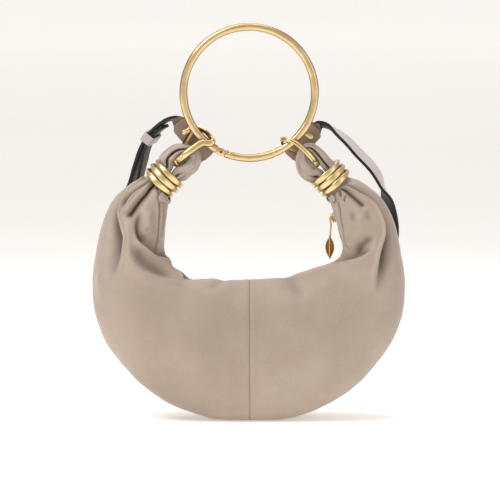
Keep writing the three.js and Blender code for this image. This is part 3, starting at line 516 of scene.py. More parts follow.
def fold_relief(points, around):
    """How far the leather stands out at each point, in mm, and how much painted shade its hollow gets."""
    height = np.zeros(len(points))
    dark = np.zeros(len(points))
    front = around < 0.52
    for left, right, left_width, right_width, crests, widths, fades, darkness, path in FOLDS:
        line = smooth_point(*spline(path, np.linspace(0, 1, 36)).T)
        reach = 4 * max(left_width, right_width) * max(widths)
        near = front & np.all((points > line.min(0) - reach) & (points < line.max(0) + reach), axis=1)
        distance, share, side = from_path(points[near], line)
        fade = smooth_step(share, 0, fades[0]) * (1 - smooth_step(share, 1 - fades[1], 1))
        swell = widths[0] + (1 - widths[0]) * smooth_step(share, 0, 0.45)
        swell *= 1 + (widths[1] - 1) * smooth_step(share, 0.5, 1)
        signed = distance * side
        turn = 0.5 + 0.5 * np.tanh(signed / 0.7)
        width = np.maximum(swell * np.where(signed > 0, left_width, right_width), 1.25)
        deep = (left * turn + right * (1 - turn)) * bell(distance, width)
        beyond = bell(distance - 2.1 * width, width) * np.where(signed > 0, crests[0], crests[1])
        height[near] += fade * (beyond - deep)
        # Painted shade in the hollow of the fold.
        shade = darkness * fade * bell(distance, 0.62 * width) * (deep > 0)
        dark[near] = np.maximum(dark[near], shade)
    for depth, width, path in PLACKET_SEAMS:
        line = smooth_point(*spline(path, np.linspace(0, 1, 30)).T)
        near = front & np.all((points > line.min(0) - 6) & (points < line.max(0) + 6), axis=1)
        distance, share, _ = from_path(points[near], line)
        fade = smooth_step(share, 0, 0.08) * (1 - smooth_step(share, 0.85, 1))
        pucker = 1 + 0.25 * np.sin(share * 130)
        height[near] += fade * (0.5 * bell(distance - 2.4, 1.6) - pucker * depth * bell(distance, width))
        dark[near] = np.maximum(dark[near], 0.55 * fade * bell(distance, 0.8 * width))
    return height, dark


# Gathers of the back, which the coils draw together: place around, depth, width in shares, length along
BACK_GATHERS = [(0.56, 1.8, 0.012, 0.11), (0.62, 2.8, 0.014, 0.17), (0.69, 2.2, 0.012, 0.2),
                (0.76, 3, 0.015, 0.14), (0.83, 2, 0.013, 0.17), (0.9, 2.2, 0.013, 0.12)]


def back_relief(along, around):
    height = np.zeros(along.shape)
    from_neck = np.minimum(along, 1 - along)
    sway = 0.02 * np.sin(18 * from_neck + 3 * around)
    for place, depth, width, length in BACK_GATHERS:
        spread = width * (1 + 5 * from_neck)
        offset = (around + sway - place) / spread
        fade = 1 - smooth_step(from_neck, 0.5 * length, length)
        height -= depth * fade * (bell(offset) - 0.35 * bell(np.abs(offset) - 2))
    return height


def slouch(points):
    """Slow unevenness of soft leather, a few tenths of a millimetre."""
    x, y, z = points.T / 100
    waves = np.sin(7.1 * x + 3 * z + 1.3) * np.sin(6.3 * z - 2 * x) + 0.6 * np.sin(13 * x - 9 * z + 4 * y)
    return 0.45 * waves + 0.15 * np.sin(31 * x + 17 * z) * np.sin(23 * z - 11 * x + 5 * y)


def rim_lift(along, around):
    """The front rim stands a little higher in its middle, and the back rim sags below it."""
    from_middle = np.abs(along - 0.5)
    front = 3.2 * bell(around - 0.085, 0.07) * (1 - smooth_step(from_middle, 0.06, 0.14))
    back = 4.5 * bell(1 - around - 0.08, 0.07) * (1 - smooth_step(from_middle, 0.22, 0.3))
    return np.where(around < 0.5, front, -back)


# Counts of quads of one half of the body
BODY_ALONG = 250
BODY_FRONT = 220
BODY_BACK = 90
SEAM_DEPTH = 0.5
SEAM_HALF_WIDTH = 1.0
FLANGE = [(0.8, 0.6), (2.2, 0.9), (4.2, 1.0), (6.5, 1.0)]


def body_half(side):
    along = np.linspace(0, 0.5, BODY_ALONG + 1)
    along = along if side < 0 else 1 - along
    around = np.concatenate([np.linspace(0, 0.5, BODY_FRONT + 1), np.linspace(0.5, 1, BODY_BACK + 1)[1:]])
    u, v = (a.ravel() for a in np.meshgrid(along, around, indexing="ij"))
    points = smooth_point(u, v)
    normals = smooth_normal(u, v)
    height, dark = fold_relief(points, v)
    height += back_relief(u, v) * smooth_step(v, 0.5, 0.56)
    height += slouch(points) * smooth_step(np.minimum(u, 1 - u), 0.04, 0.2)
    from_seam = np.abs(points[:, 0] - SEAM_X)
    pucker = 1 + 0.2 * np.sin(points[:, 2] * 1.9 + points[:, 1] * 1.7)
    height += 0.3 * bell(from_seam - 3.6, 2.2) - pucker * SEAM_DEPTH * bell(from_seam, SEAM_HALF_WIDTH)
    dark = np.maximum(dark, 0.08 * bell(from_seam, 0.7))
    edge = np.minimum(v, 1 - v)
    height *= smooth_step(edge, -0.005, 0.04)
    points = points + normals * height[:, None]
    points[:, 2] = np.maximum(points[:, 2] + rim_lift(u, v), 0.05)
    shape = (BODY_ALONG + 1, BODY_FRONT + BODY_BACK + 1)
    grid = points.reshape(*shape, 3)
    lean = normals.reshape(*shape, 3)
    shade = dark.reshape(shape)
    grid, shade = with_flanges(grid, lean, shade)
    faces = grid_faces(*grid.shape[:2])
    if side < 0:
        faces = faces[:, ::-1]
    piece = make_piece(f"leather_body_{WORDS[side]}", grid.reshape(-1, 3), faces, LEATHER, slot="leather")
    set_painted_shade(piece, shade.ravel())
    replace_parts(piece, f"body_{WORDS[side]}")


def with_flanges(grid, normals, shade):
    """Turns the leather in at the zip edges and at the middle seam, so that no edge shows as a bare sheet; the
    turned-in strips and the lip get painted shade.
    """
    inward = -normals
    full = grid
    for column, step in ((0, 1), (-1, -1)):
        edge = grid[:, column]
        across = unit(edge - grid[:, column + step])
        strips = [edge + inward[:, column] * down + across * 1.2 * out * (down > 1) for down, out in FLANGE]
        strips = np.stack(strips, axis=1)
        # The turned-in strips get painted shade.
        extra = np.repeat(shade[:, column:column + 1 or None], len(FLANGE), axis=1) + 0.5
        if column == 0:
            full = np.concatenate([strips[:, ::-1], full], axis=1)
            shade = np.concatenate([extra, shade], axis=1)
        else:
            full = np.concatenate([full, strips], axis=1)
            shade = np.concatenate([shade, extra], axis=1)
    last = full[-1]
    lip = last + 3.0 * unit(np.array([SEAM_X, 0, 62]) - last)
    lip[:, 0] = last[:, 0]
    full = np.concatenate([full, lip[None]], axis=0)
    # The lip at the middle seam gets strong painted shade.
    shade = np.concatenate([shade, shade[-1:] * 0 + 0.9], axis=0)
    return full, shade


body_half(-1)
body_half(1)


# Sweeps: a cross-section carried along a line
ROUND = np.array([(math.cos(t), math.sin(t)) for t in np.linspace(0, 2 * math.pi, 24, endpoint=False)])


def rounded_box(width, height, corner, steps=4):
    """A rectangle with rounded corners, as half sizes in millimetres."""
    points = []
    for turn, sx, sy in ((0, 1, 1), (90, -1, 1), (180, -1, -1), (270, 1, -1)):
        for t in np.radians(np.linspace(turn, turn + 90, steps + 1)):
            x = sx * (width - corner) + corner * math.cos(t)
            points.append((x, sy * (height - corner) + corner * math.sin(t)))
    return np.array(points)


def sweep(centres, across, up, outline, half_width=1.0, half_height=1.0):
    """Rings of points, one for each centre; the half sizes may change along the line."""
    wide = np.broadcast_to(np.asarray(half_width, float), (len(centres),))[:, None, None]
    tall = np.broadcast_to(np.asarray(half_height, float), (len(centres),))[:, None, None]
    x = outline[None, :, 0:1] * wide * across[:, None, :]
    y = outline[None, :, 1:2] * tall * up[:, None, :]
    return centres[:, None, :] + x + y


def capped(rings, run_first, run_last, bulge=0.35):
    """Rounds off both ends of a sweep with two smaller rings."""
    first, last = rings[0], rings[-1]
    ends = []
    for ring, run in ((first, -run_first), (last, run_last)):
        centre = ring.mean(axis=0)
        size = np.linalg.norm(ring - centre, axis=1).mean()
        ends.append([centre + (ring - centre) * k + run * size * bulge * math.sqrt(1 - k * k)
                     for k in (0.85, 0.5, 0.15)])
    return np.concatenate([np.array(ends[0][::-1]), rings, np.array(ends[1])])


def tube_faces(rows, count, closed=False):
    faces = [tuple(face) for face in grid_faces(rows, count, closed_rows=closed, closed_columns=True)]
    if not closed:
        faces.append(tuple(range(count))[::-1])
        faces.append(tuple((rows - 1) * count + k for k in range(count)))
    return faces


def skin(name, rings, material, closed=False, **keys):
    points = rings.reshape(-1, 3)
    faces = outward(points, tube_faces(*rings.shape[:2], closed))
    return make_piece(name, points, faces, material, **keys)


def bundle(name, solids, material, slot, **keys):
    """One mesh of many small solids, each given by its rings."""
    solids = np.array(solids)
    faces = []
    for k, rings in enumerate(solids):
        points = rings.reshape(-1, 3)
        start = k * len(points)
        faces += [tuple(start + v for v in face) for face in outward(points, tube_faces(*rings.shape[:2]))]
    return make_piece(name, solids.reshape(-1, 3), faces, material, slot=slot, **keys)


def outward(points, faces):
    """Turns all faces round if they enclose a negative volume."""
    volume = 0.0
    for face in faces:
        a = points[face[0]]
        for k in range(1, len(face) - 1):
            volume += a @ np.cross(points[face[k]], points[face[k + 1]])
    return [face[::-1] for face in faces] if volume < 0 else faces


def transported(centres, first, closed=False):
    """Cross directions carried along a line without twist, and closed up where the line is a loop."""
    around = np.roll(centres, -1, 0) - np.roll(centres, 1, 0)
    run = unit(around if closed else np.gradient(centres, axis=0))
    side = [unit(first - run[0] * (first @ run[0]))]
    for k in range(1, len(centres)):
        side.append(unit(side[-1] - run[k] * (side[-1] @ run[k])))
    side = np.array(side)
    up = np.cross(run, side)
    if closed:
        carried = unit(side[-1] - run[0] * (side[-1] @ run[0]))
        twist = math.atan2(np.cross(carried, side[0]) @ run[0], carried @ side[0])
        turn = np.linspace(0, twist, len(centres), endpoint=False)[:, None]
        side, up = side * np.cos(turn) + up * np.sin(turn), up * np.cos(turn) - side * np.sin(turn)
    return run, side, up


def lathe(name, seat, axis, profile, material, sides=24, **keys):
    """A turned piece: profile rows are distance along the axis and radius."""
    axis = unit(np.asarray(axis, float))
    across = unit(np.cross(axis, [0.31, 0.21, 0.93]))
    up = np.cross(axis, across)
    rings = []
    for along, radius in profile:
        centre = np.asarray(seat, float) + axis * along
        rings.append(centre + radius * (ROUND[:sides, :1] * across + ROUND[:sides, 1:] * up))
    return skin(name, np.array(rings), material, **keys)


# The coils that bind the necks: a bar wound three times, broad at the front and back and pointed at the sides
COIL_TURNS = 3
COIL_THICKNESS = 4.6
COIL_TALL = 6.9
COIL_STEPS = 72


def wind_coil(side):
    centre, axis, out = neck_frame(side)
    share = np.linspace(0, 1, COIL_TURNS * COIL_STEPS + 1)
    turn = 2 * math.pi * COIL_TURNS * share + math.pi / 2
    broad = np.abs(np.sin(turn)) ** 0.8
    wave = 0.35 * np.sin(2.3 * turn + side) + 0.2 * np.sin(5.1 * turn)
    pitch = COIL_LENGTH / COIL_TURNS
    # The bar stays level across the front and the back and steps up at the sides.
    rise = (share - 0.5) * pitch * COIL_TURNS + 0.4 * np.sin(2 * turn) + 0.5 * wave
    taper = np.clip(0.12 + 1.6 * COIL_TURNS * np.minimum(share, 1 - share), 0, 1)
    thick = taper * COIL_THICKNESS / 2 * (0.72 + 0.28 * broad)
    tall = taper * COIL_TALL / 2 * (0.2 + 0.8 * broad)
    radius = NECK_DIAMETER / 2 + 0.4 + COIL_THICKNESS / 2 + 0.5 * (1 - broad)
    radial = np.cos(turn)[:, None] * out + np.sin(turn)[:, None] * np.array([0, 1.0, 0])
    centres = centre + rise[:, None] * axis + radius[:, None] * radial
    across = np.repeat(axis[None], len(share), axis=0)
    outline = ROUND * (1 - 0.1 * np.cos(4 * np.arctan2(ROUND[:, 1], ROUND[:, 0])))[:, None]
    rings = sweep(centres, across, radial, outline, tall, thick)
    run = unit(np.gradient(centres, axis=0))
    rings = capped(rings, run[0], run[-1])
    piece = skin(f"gold_coil_{WORDS[side]}", rings, COIL_GOLD, slot="gold")
    # Painted shade on the bar's upper and lower edges, where the turns meet.
    set_painted_shade(piece, np.tile(smooth_step(np.abs(ROUND[:, 0]), 0.58, 0.9), len(rings)))
    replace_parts(piece, f"neck_coil_{WORDS[side]}")


# The padded loops above the coils: along (share of EYE_LENGTH), out and half thickness (shares of EYE_WIDTH)
EYE_LENGTH = 36.5
EYE_WIDTH = 36.0
EYE_DEPTH = 16.0
EYES = {
    -1: [(0.173, 0.192, 0.15), (0.26, 0.19, 0.175), (0.38, 0.285, 0.205), (0.52, 0.3, 0.2), (0.74, 0.24, 0.178),
         (0.9, 0.1, 0.14), (0.97, -0.07, 0.14), (0.88, -0.225, 0.17), (0.7, -0.255, 0.218), (0.49, -0.235, 0.222),
         (0.36, -0.215, 0.21), (0.26, -0.19, 0.175), (0.173, -0.192, 0.15)],
    1: [(0.173, 0.19, 0.15), (0.26, 0.185, 0.165), (0.4, 0.185, 0.16), (0.55, 0.185, 0.155), (0.77, 0.17, 0.142),
        (0.925, 0.12, 0.126), (0.975, 0, 0.13), (0.91, -0.14, 0.145), (0.76, -0.26, 0.197), (0.55, -0.31, 0.237),
        (0.38, -0.275, 0.225), (0.26, -0.19, 0.18), (0.173, -0.192, 0.15)],
}
# Lengthwise creases of the loops: place round the section in degrees (front is -90), depth as a share, width
EYE_CREASES = [(-92, 0.42, 11), (-48, 0.1, 9), (-142, 0.12, 10), (20, 0.08, 12), (90, 0.3, 12), (150, 0.08, 12)]


def padded_eye(side):
    centre, axis, out = neck_frame(side)
    share = np.linspace(0, 1, 150)
    rows = spline(EYES[side], share)
    centres = centre + (rows[:, :1] * EYE_LENGTH) * axis + (rows[:, 1:2] * EYE_WIDTH) * out
    run = unit(np.gradient(centres, axis=0))
    run[0], run[-1] = axis, -axis
    aside = np.cross(run, [0, -1.0, 0]) * -1
    angle = np.linspace(0, 2 * math.pi, 64, endpoint=False)
    degrees = np.degrees(angle)
    radius = np.ones((150, 64))
    for k, (place, depth, width) in enumerate(EYE_CREASES):
        drift = place + 14 * np.sin(5 * share + k * 1.7 + side)[:, None]
        gap = (degrees[None] - drift + 180) % 360 - 180
        life = 0.55 + 0.45 * np.sin(7 * share + 2.1 * k)[:, None]
        radius -= depth * life * (bell(gap, width) - 0.3 * bell(np.abs(gap) - 2 * width, width))
    radius += 0.03 * np.sin(23 * share[:, None] + 2 * angle) + 0.02 * np.sin(41 * share[:, None] - 3 * angle)
    thick = rows[:, 2] * EYE_WIDTH
    deep = (EYE_DEPTH / 2) * (1 - 0.16 * np.sin(math.pi * share))
    x = (np.cos(angle)[None] * radius * thick[:, None])[..., None] * aside[:, None]
    y = (np.sin(angle)[None] * radius * deep[:, None])[..., None] * np.array([0, 1.0, 0])
    rings = centres[:, None] + x + y
    piece = skin(f"padded_loop_{WORDS[side]}", rings, LOOP_LEATHER, slot="trim_leather")
    # Painted shade in the lengthwise creases, the deeper the crease the darker.
    set_painted_shade(piece, ((0.97 - radius) * 5).ravel())
    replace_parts(piece, f"end_loop_{WORDS[side]}")


for each_side in (-1, 1):
    wind_coil(each_side)
    padded_eye(each_side)


# The ring and its gate
RING_BORE = 113.5
RING_ROD = 7.2
RING_BOTTOM = 235.5
RING_X = 1.5
GATE_ANGLE = 25.3
GATE_PIN = 2.0
RING_RADIUS = (RING_BORE + RING_ROD) / 2
RING_Z = RING_BOTTOM + RING_ROD + RING_BORE / 2
KNUCKLE = RING_ROD
TONGUE = 2.0
GAP = 0.3
Y_AXIS = np.array([0, 1.0, 0])


def ring_point(degrees, radius=RING_RADIUS, deep=0.0):
    """A point of the ring by its angle from straight down, positive to the right."""
    turn = np.radians(degrees)
    deep = np.broadcast_to(deep, np.shape(turn))
    return np.stack([RING_X + np.sin(turn) * radius, deep, RING_Z - np.cos(turn) * radius], axis=-1)


HINGE = ring_point(-GATE_ANGLE)
FACE_X = ring_point(GATE_ANGLE)[0]
# A rod slightly flattened on four sides, as if hammered
RING_TURN = np.linspace(0, 2 * math.pi, 32, endpoint=False)
RING_OUTLINE = squared(np.stack([np.cos(RING_TURN), np.sin(RING_TURN)], axis=-1), 0.82)


def ring_bar(first, last, steps):
    """Rings of points along the ring; its rod is a little uneven from hammering."""
    angles = np.linspace(first, last, steps)
    centres = ring_point(angles)
    away = unit(centres - np.array([RING_X, 0, RING_Z]))
    across = np.repeat(Y_AXIS[None], steps, axis=0)
    uneven = 1 + 0.02 * np.sin(angles / 7.0) + 0.012 * np.sin(angles / 2.9 + 1)
    half = RING_ROD / 2 * uneven
    return sweep(centres, away, across, RING_OUTLINE, half, half * 0.97)


def cut_upright(rings, x):
    """Ends a bar on an upright face by sliding the points of its last ring along to one x."""
    radius = np.hypot(rings[:, :, 0] - RING_X, rings[:, :, 2] - RING_Z)
    for k, share in ((-1, 1.0), (-2, 0.66), (-3, 0.33)):
        z = RING_Z - np.sqrt(np.maximum(radius[k] ** 2 - (x - RING_X) ** 2, 0))
        rings[k, :, 0] += share * (x - rings[k, :, 0])
        rings[k, :, 2] += share * (z - rings[k, :, 2])
    return rings


def gold_skin(name, rings, material=None, closed=False, edge=(0.7, 0.97), outline=RING_OUTLINE, **keys):
    """A gold sweep whose two side edges are darkened with painted shade, standing in for the dark reflections
    there.
    """
    piece = skin(name, rings, material or GOLD, closed=closed, slot="gold", **keys)
    side = np.abs(outline[:, 0]) / np.abs(outline[:, 0]).max()
    set_painted_shade(piece, np.tile(smooth_step(side, *edge), len(rings)))
    return piece


def build_ring():
    handle = ring_bar(360 - GATE_ANGLE - 3.6, GATE_ANGLE - 1.2, 420)
    handle = cut_upright(handle, FACE_X)
    ring = gold_skin("ring_bar", handle)
    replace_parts(ring, "ring_handle")
    gate = cut_upright(ring_bar(-GATE_ANGLE + 4.0, GATE_ANGLE + 1.2, 90), FACE_X - GAP)
    bar = gold_skin("gate_bar", gate, body="gate")
    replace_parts(bar, "ring_gate")
    build_hinge()


def fork_plate(name, low, high, body, tall=KNUCKLE, toward=1.0, reach=4.6):
    """One leaf of the hinge: a rounded plate between two depths that runs from the pin into its bar."""
    run = unit(ring_point(-GATE_ANGLE + toward * 4) - HINGE)
    up = np.cross(Y_AXIS, run)
    outline = []
    for t in np.linspace(math.pi / 2, 3 * math.pi / 2, 15):
        outline.append((math.cos(t) * tall / 2, math.sin(t) * tall / 2))
    outline += [(reach, -tall / 2 + 0.2), (reach + 0.5, 0), (reach, tall / 2 - 0.2)]
    outline = np.array(outline)
    rings = []
    for deep, grow in ((low, 0.9), (low + 0.25, 1.0), (high - 0.25, 1.0), (high, 0.9)):
        rings.append(HINGE + deep * Y_AXIS + grow * (outline[:, :1] * run + outline[:, 1:] * up))
    return skin(name, np.array(rings), GOLD, body=body, slot="gold")


def build_hinge():
    half = RING_ROD / 2
    slot = TONGUE / 2 + GAP
    fork_plate("hinge_leaf_front", -half, -slot, "bag", toward=-1)
    fork_plate("hinge_leaf_back", slot, half, "bag", toward=-1)
    fork_plate("gate_tongue", -TONGUE / 2, TONGUE / 2, "gate", tall=KNUCKLE - 4 * GAP)
    head = [(0, 0.3), (0.05, 1.1), (0.3, 1.35), (0.42, 1.0), (0.45, 0.3)]
    lathe("hinge_pin_front", HINGE - Y_AXIS * half, -Y_AXIS, head, DARK_GOLD, slot="gold")
    lathe("hinge_pin_back", HINGE + Y_AXIS * half, Y_AXIS, head, DARK_GOLD, slot="gold")
    # Two turned collars finish the gate's ends.
    for name, angle in (("gate_collar_hinge", -GATE_ANGLE + 7.6), ("gate_collar_free", GATE_ANGLE - 2.4)):
        place = ring_point(angle)
        run = unit(ring_point(angle + 1) - place)
        profile = [(-0.9, 3.5), (-0.75, 3.86), (-0.2, 3.9), (0, 3.68), (0.2, 3.9), (0.75, 3.86), (0.9, 3.5)]
        lathe(name, place, run, profile, COIL_GOLD, body="gate", slot="gold")


# The links from the padded loops to the ring: share of the way, REACH past the ring, out, deep
LINK_ROD = 4.2
LINK_WIDTH = 24.0
REACH = (RING_ROD + LINK_ROD) / 2 + GAP
LINKS = {
    -1: [(0, 0, 0, 0), (0.2, 0, 0, -1.2), (0.5, 0, -0.04, -1.62), (0.9, 0, -0.16, -1.3), (1, 0.2, -0.37, -1.1),
         (1, 0.85, -0.42, -0.8), (1, 1.02, -0.28, 0.08), (1, 1.05, 0.04, 0.5), (1, 0.3, 0.37, 1.12),
         (0.77, 0, 0.32, 1.58), (0.4, 0, 0.18, 1.62), (0.09, 0, 0.06, 0.9)],
    1: [(0, 0, 0, 0), (0.16, 0, 0.08, -1.2), (0.5, 0, 0.18, -1.62), (0.86, 0, 0.215, -1.3), (1, 0.42, 0.15, -1.08),
        (1, 1.2, 0.03, -0.45), (1, 1.3, -0.1, 0.4), (1, 0.1, -0.19, 1.2), (0.7, 0, -0.12, 1.58),
        (0.33, 0, -0.08, 1.6), (0.05, 0, -0.04, 0.95)],
}
# along, out and angle of each link's seat; a wire's share of LINK_ROD, half the space between two, flatness
LINK_SEATS = {-1: (0.46, 0.065, -47), 1: (0.49, -0.03, 38)}
LINK_WIRES = {-1: (1.0, 0.0, 1.45), 1: (0.56, 0.27, 1.0)}


def link_line(side):
    centre, axis, out = neck_frame(side)
    along, aside, angle = LINK_SEATS[side]
    start = centre + axis * along * EYE_LENGTH + out * aside * EYE_WIDTH
    way = ring_point(angle) - start
    length = np.linalg.norm(way)
    run = way / length
    across = np.array([side * run[2], 0, -side * run[0]])
    points = [start + run * (t * length + past * REACH) + across * o * LINK_WIDTH + Y_AXIS * d * REACH
              for t, past, o, d in LINKS[side]]
    return closed_spline(points, np.arange(20 * len(points)) / (20 * len(points)))


def build_link(side):
    line = link_line(side)
    size, apart, flat = LINK_WIRES[side]
    run, across, up = transported(line, Y_AXIS, closed=True)
    share = np.linspace(0, 1, len(line), endpoint=False)
    # The wire is thickest where it crosses in front, and a little uneven.
    swell = 1 + 0.16 * np.exp(-(((share - 0.17) / 0.1) ** 2)) + 0.04 * np.sin(40 * share)
    strands = [0.0] if apart == 0 else [-1.0, 1.0]
    for k, place in enumerate(strands):
        centres = line + up * place * apart * LINK_ROD
        half = LINK_ROD / 2 * size * np.minimum(swell, 1.12)
        rings = sweep(centres, up, across, RING_OUTLINE[::2], half * flat, half)
        name = f"gold_link_{WORDS[side]}_{k}"
        piece = gold_skin(name, rings, COIL_GOLD, closed=True, outline=RING_OUTLINE[::2])
        if k == 0:
            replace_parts(piece, f"link_{WORDS[side]}")


# Worked knobs where the links' wires are closed: along the line, size, stretch
KNOBS = {
    -1: [(0.035, 3.4, 1.2), (0.075, 3.1, 1.1), (0.11, 2.8, 0.9)],
    1: [(0.025, 2.9, 1.2), (0.06, 2.6, 1.0), (0.985, 2.4, 1.0)],
}
BEAD = [(-1.0, 0.25), (-0.86, 0.62), (-0.5, 0.93), (-0.14, 1.0), (-0.04, 0.88), (0.04, 0.88), (0.14, 1.0),
        (0.5, 0.93), (0.86, 0.62), (1.0, 0.25)]


def build_knobs(side):
    line = link_line(side)
    run = unit(np.roll(line, -1, 0) - np.roll(line, 1, 0))
    for k, (share, size, stretch) in enumerate(KNOBS[side]):
        i = int(share * len(line)) % len(line)
        profile = [(along * size * stretch * 0.8, radius * size) for along, radius in BEAD]
        lathe(f"link_knob_{WORDS[side]}_{k}", line[i], run[i], profile, COIL_GOLD, slot="gold")


build_ring()
for each_side in (-1, 1):
    build_link(each_side)
    build_knobs(each_side)


# The strap: shares of BODY_WIDTH / 2 across, BODY_DEPTH / 2 back and NECK_HEIGHT up, then the width's turn
STRAP_WIDTH = 17.5
STRAP_THICKNESS = 3.0
LAYER_GAP = 0.8
LAYER_SPREAD = 0.12
KEEPER_STATION = 6
BUCKLE_STATION = 11.3
TAIL_STATION = 4.5
KEEPER_LENGTH = 9.0
BUCKLE_LENGTH = 5.0
STUD_RADIUS = RING_RADIUS + STRAP_WIDTH * 0.55
TAB_PLANE = 13.42
TABS = {-1: (32, 67), 1: (32, 62)}
STUD_ANGLES = {-1: -58, 1: 54}
SHORT_STRAP = [
    (-0.495, 0.25, 1.246, 12), (-0.572, 0.34, 1.215, 8), (-0.629, 0.42, 1.173, 12), (-0.674, 0.5, 1.119, 13),
    (-0.703, 0.6, 1.0645, 13), (-0.74, 0.78, 0.985, 12), (-0.775, 1, 0.88, 45), (-0.785, 1.12, 0.79, 88),
    (-0.785, 1.12, 0.7, 90),
]
LONG_STRAP = [
    (0.47, 0.2, 1.222, 30), (0.545, 0.3, 1.199, -4), (0.6395, 0.4, 1.15, -18), (0.709, 0.5, 1.1, -20),
    (0.799, 0.65, 1.036, -20), (0.861, 0.82, 0.967, -12), (0.905, 1.0, 0.87, 40), (0.91, 1.1, 0.709, 85),
    (0.8146, 1.1, 0.4997, 90), (0.623, 1.1, 0.2906, 90), (0.3354, 1.1, 0.15, 90), (0.016, 1.1, 0.105, 90),
    (-0.2715, 1.1, 0.15, 90), (-0.527, 1.1, 0.2697, 90), (-0.687, 1.13, 0.458, 90), (-0.765, 1.19, 0.6, 90),
]


def tab_stations(side):
    """The strap's end, flat behind the ring along its tangent; a station is a centre and a width direction."""
    tip, lip = TABS[side]
    middle = math.radians((tip + lip) / 2)
    length = math.radians(lip - tip) * (RING_RADIUS + STRAP_WIDTH / 2)
    along = np.array([side * math.cos(middle), 0, math.sin(middle)])
    across = np.array([side * math.sin(middle), 0, -math.cos(middle)])
    spine = np.array([RING_X, 0, RING_Z]) + across * (RING_RADIUS + STRAP_WIDTH * 0.42)
    spine[1] = TAB_PLANE
    return [np.concatenate([spine + along * share * length, across]) for share in (-0.5, -0.17, 0.17, 0.5)]


def strap_stations(side, table):
    rows = tab_stations(side)
    sizes = np.array([BODY_WIDTH / 2, BODY_DEPTH / 2, NECK_HEIGHT])
    places = [np.array(row[:3]) * sizes for row in table]
    for k, row in enumerate(table):
        before = places[k - 1] if k else rows[3][:3]
        run = (places[min(k + 1, len(places) - 1)] - before) * [1, 0, 1]
        turn = math.radians(row[3])
        width = np.cross(Y_AXIS, unit(run)) * math.sin(turn) + Y_AXIS * side * math.cos(turn)
        rows.append(np.concatenate([places[k], width if width @ rows[-1][3:] >= 0 else -width]))
    return np.array(rows)


def strap_frame(rows, share):
    share = np.atleast_1d(np.asarray(share, float))
    step = 0.2 / len(rows)
    centre = spline(rows, share)[:, :3]
    ahead, behind = (spline(rows, np.clip(share + move, 0, 1))[:, :3] for move in (step, -step))
    run = unit(ahead - behind)
    width = spline(rows, share)[:, 3:]
    width = unit(width - run * np.sum(width * run, axis=1, keepdims=True))
    return centre, run, width, np.cross(run, width)


def layer_under(rows, offset):
    """Stations of a second layer, inside the first one's bend, from its far end back to its free tip."""
    last = len(rows) - 1
    layer = []
    for k in np.arange(last, TAIL_STATION - 0.01, -0.5):
        centre, _, width, normal = (v[0] for v in strap_frame(rows, k / last))
        loose = 1 + LAYER_SPREAD * max(0, 5 - k) + 0.35 * max(0, k - 6.5)
        layer.append(np.concatenate([centre + normal * offset * loose, width]))
    return layer


SHORT_ROWS = strap_stations(-1, SHORT_STRAP)
INWARD = np.sign(strap_frame(SHORT_ROWS, KEEPER_STATION / (len(SHORT_ROWS) - 1))[3][0, 0])
LAYER_OFFSET = INWARD * (STRAP_THICKNESS + LAYER_GAP)


def joined_rows():
    rows = list(strap_stations(1, LONG_STRAP))
    for row in layer_under(SHORT_ROWS, LAYER_OFFSET):
        same = row[3:] @ rows[-1][3:] >= 0
        rows.append(row if same else np.concatenate([row[:3], -row[3:]]))
    return np.array(rows)


LONG_ROWS = joined_rows()
STRAP_OUTLINE = rounded_box(STRAP_WIDTH / 2, STRAP_THICKNESS / 2, 0.9, 5)


def build_strap(name, rows, face_sign, node, taper_both=False):
    """A flat strap of three materials: its pale face, a dark lining and black painted edges."""
    steps = (len(rows) - 1) * 14
    share = np.linspace(0, 1, steps + 1)
    centre, run, width, normal = strap_frame(rows, share)
    station = share * (len(rows) - 1)
    # It narrows where it twists away from its tab, and its free tip is rounded.
    pinch = 1 - 0.5 * bell(station - 3.5, 0.7)
    if taper_both:
        from_tip = np.clip((station[-1] - station) / 0.55, 0, 1)
        pinch = pinch * np.sqrt(np.clip(1 - (1 - from_tip) ** 2, 0.02, 1))
    rings = sweep(centre, width, normal, STRAP_OUTLINE, pinch)
    count = len(STRAP_OUTLINE)
    piece = skin(name, rings, [STRAP_LEATHER, LINING, EDGE_PAINT, TRIM_LEATHER], slot="strap_leather")
    middle = (STRAP_OUTLINE + np.roll(STRAP_OUTLINE, -1, 0)) / 2
    sides = np.where(middle[:, 1] * face_sign > 0, 0, 1)
    kinds = np.where(np.abs(middle[:, 0]) > STRAP_WIDTH / 2 - 0.75, 2, sides)
    index = np.full(len(piece.data.polygons), 2)
    index[:steps * count] = np.tile(kinds, steps)
    near_tab = np.repeat(station[:-1] < 3.8, count)
    index[:steps * count][near_tab & (index[:steps * count] == 1)] = 3
    piece.data.polygons.foreach_set("material_index", index.astype(np.int32))
    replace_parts(piece, node)
    strap_stitches(name + "_stitches", rows, face_sign, share, pinch)


# A stitch: along, radius
THREAD_SHAPE = [(-1.35, 0.12), (-1.1, 0.34), (0, 0.42), (1.1, 0.34), (1.35, 0.12)]


def strap_stitches(name, rows, face_sign, share, pinch, pitch=4.2, inset=2.2):
    """Short threads along both margins of the pale face."""
    dense = np.linspace(0, 1, 2400)
    centre, run, width, normal = strap_frame(rows, dense)
    travelled = np.concatenate([[0], np.cumsum(np.linalg.norm(np.diff(centre, axis=0), axis=1))])
    places = np.arange(8, travelled[-1] - 8, pitch)
    picked = np.clip(np.searchsorted(travelled, places), 0, len(dense) - 1)
    threads = []
    around = np.linspace(0, 2 * math.pi, 6, endpoint=False)[:, None]
    for side in (-1, 1):
        for i in picked:
            size = STRAP_WIDTH / 2 * np.interp(dense[i], share, pinch) - inset
            if size < 3:
                continue
            seat = centre[i] + width[i] * side * size + normal[i] * face_sign * (STRAP_THICKNESS / 2)
            spread = np.cos(around) * width[i] + np.sin(around) * normal[i]
            threads.append([seat + run[i] * along + radius * spread for along, radius in THREAD_SHAPE])
    bundle(name, threads, THREAD, "strap_leather")


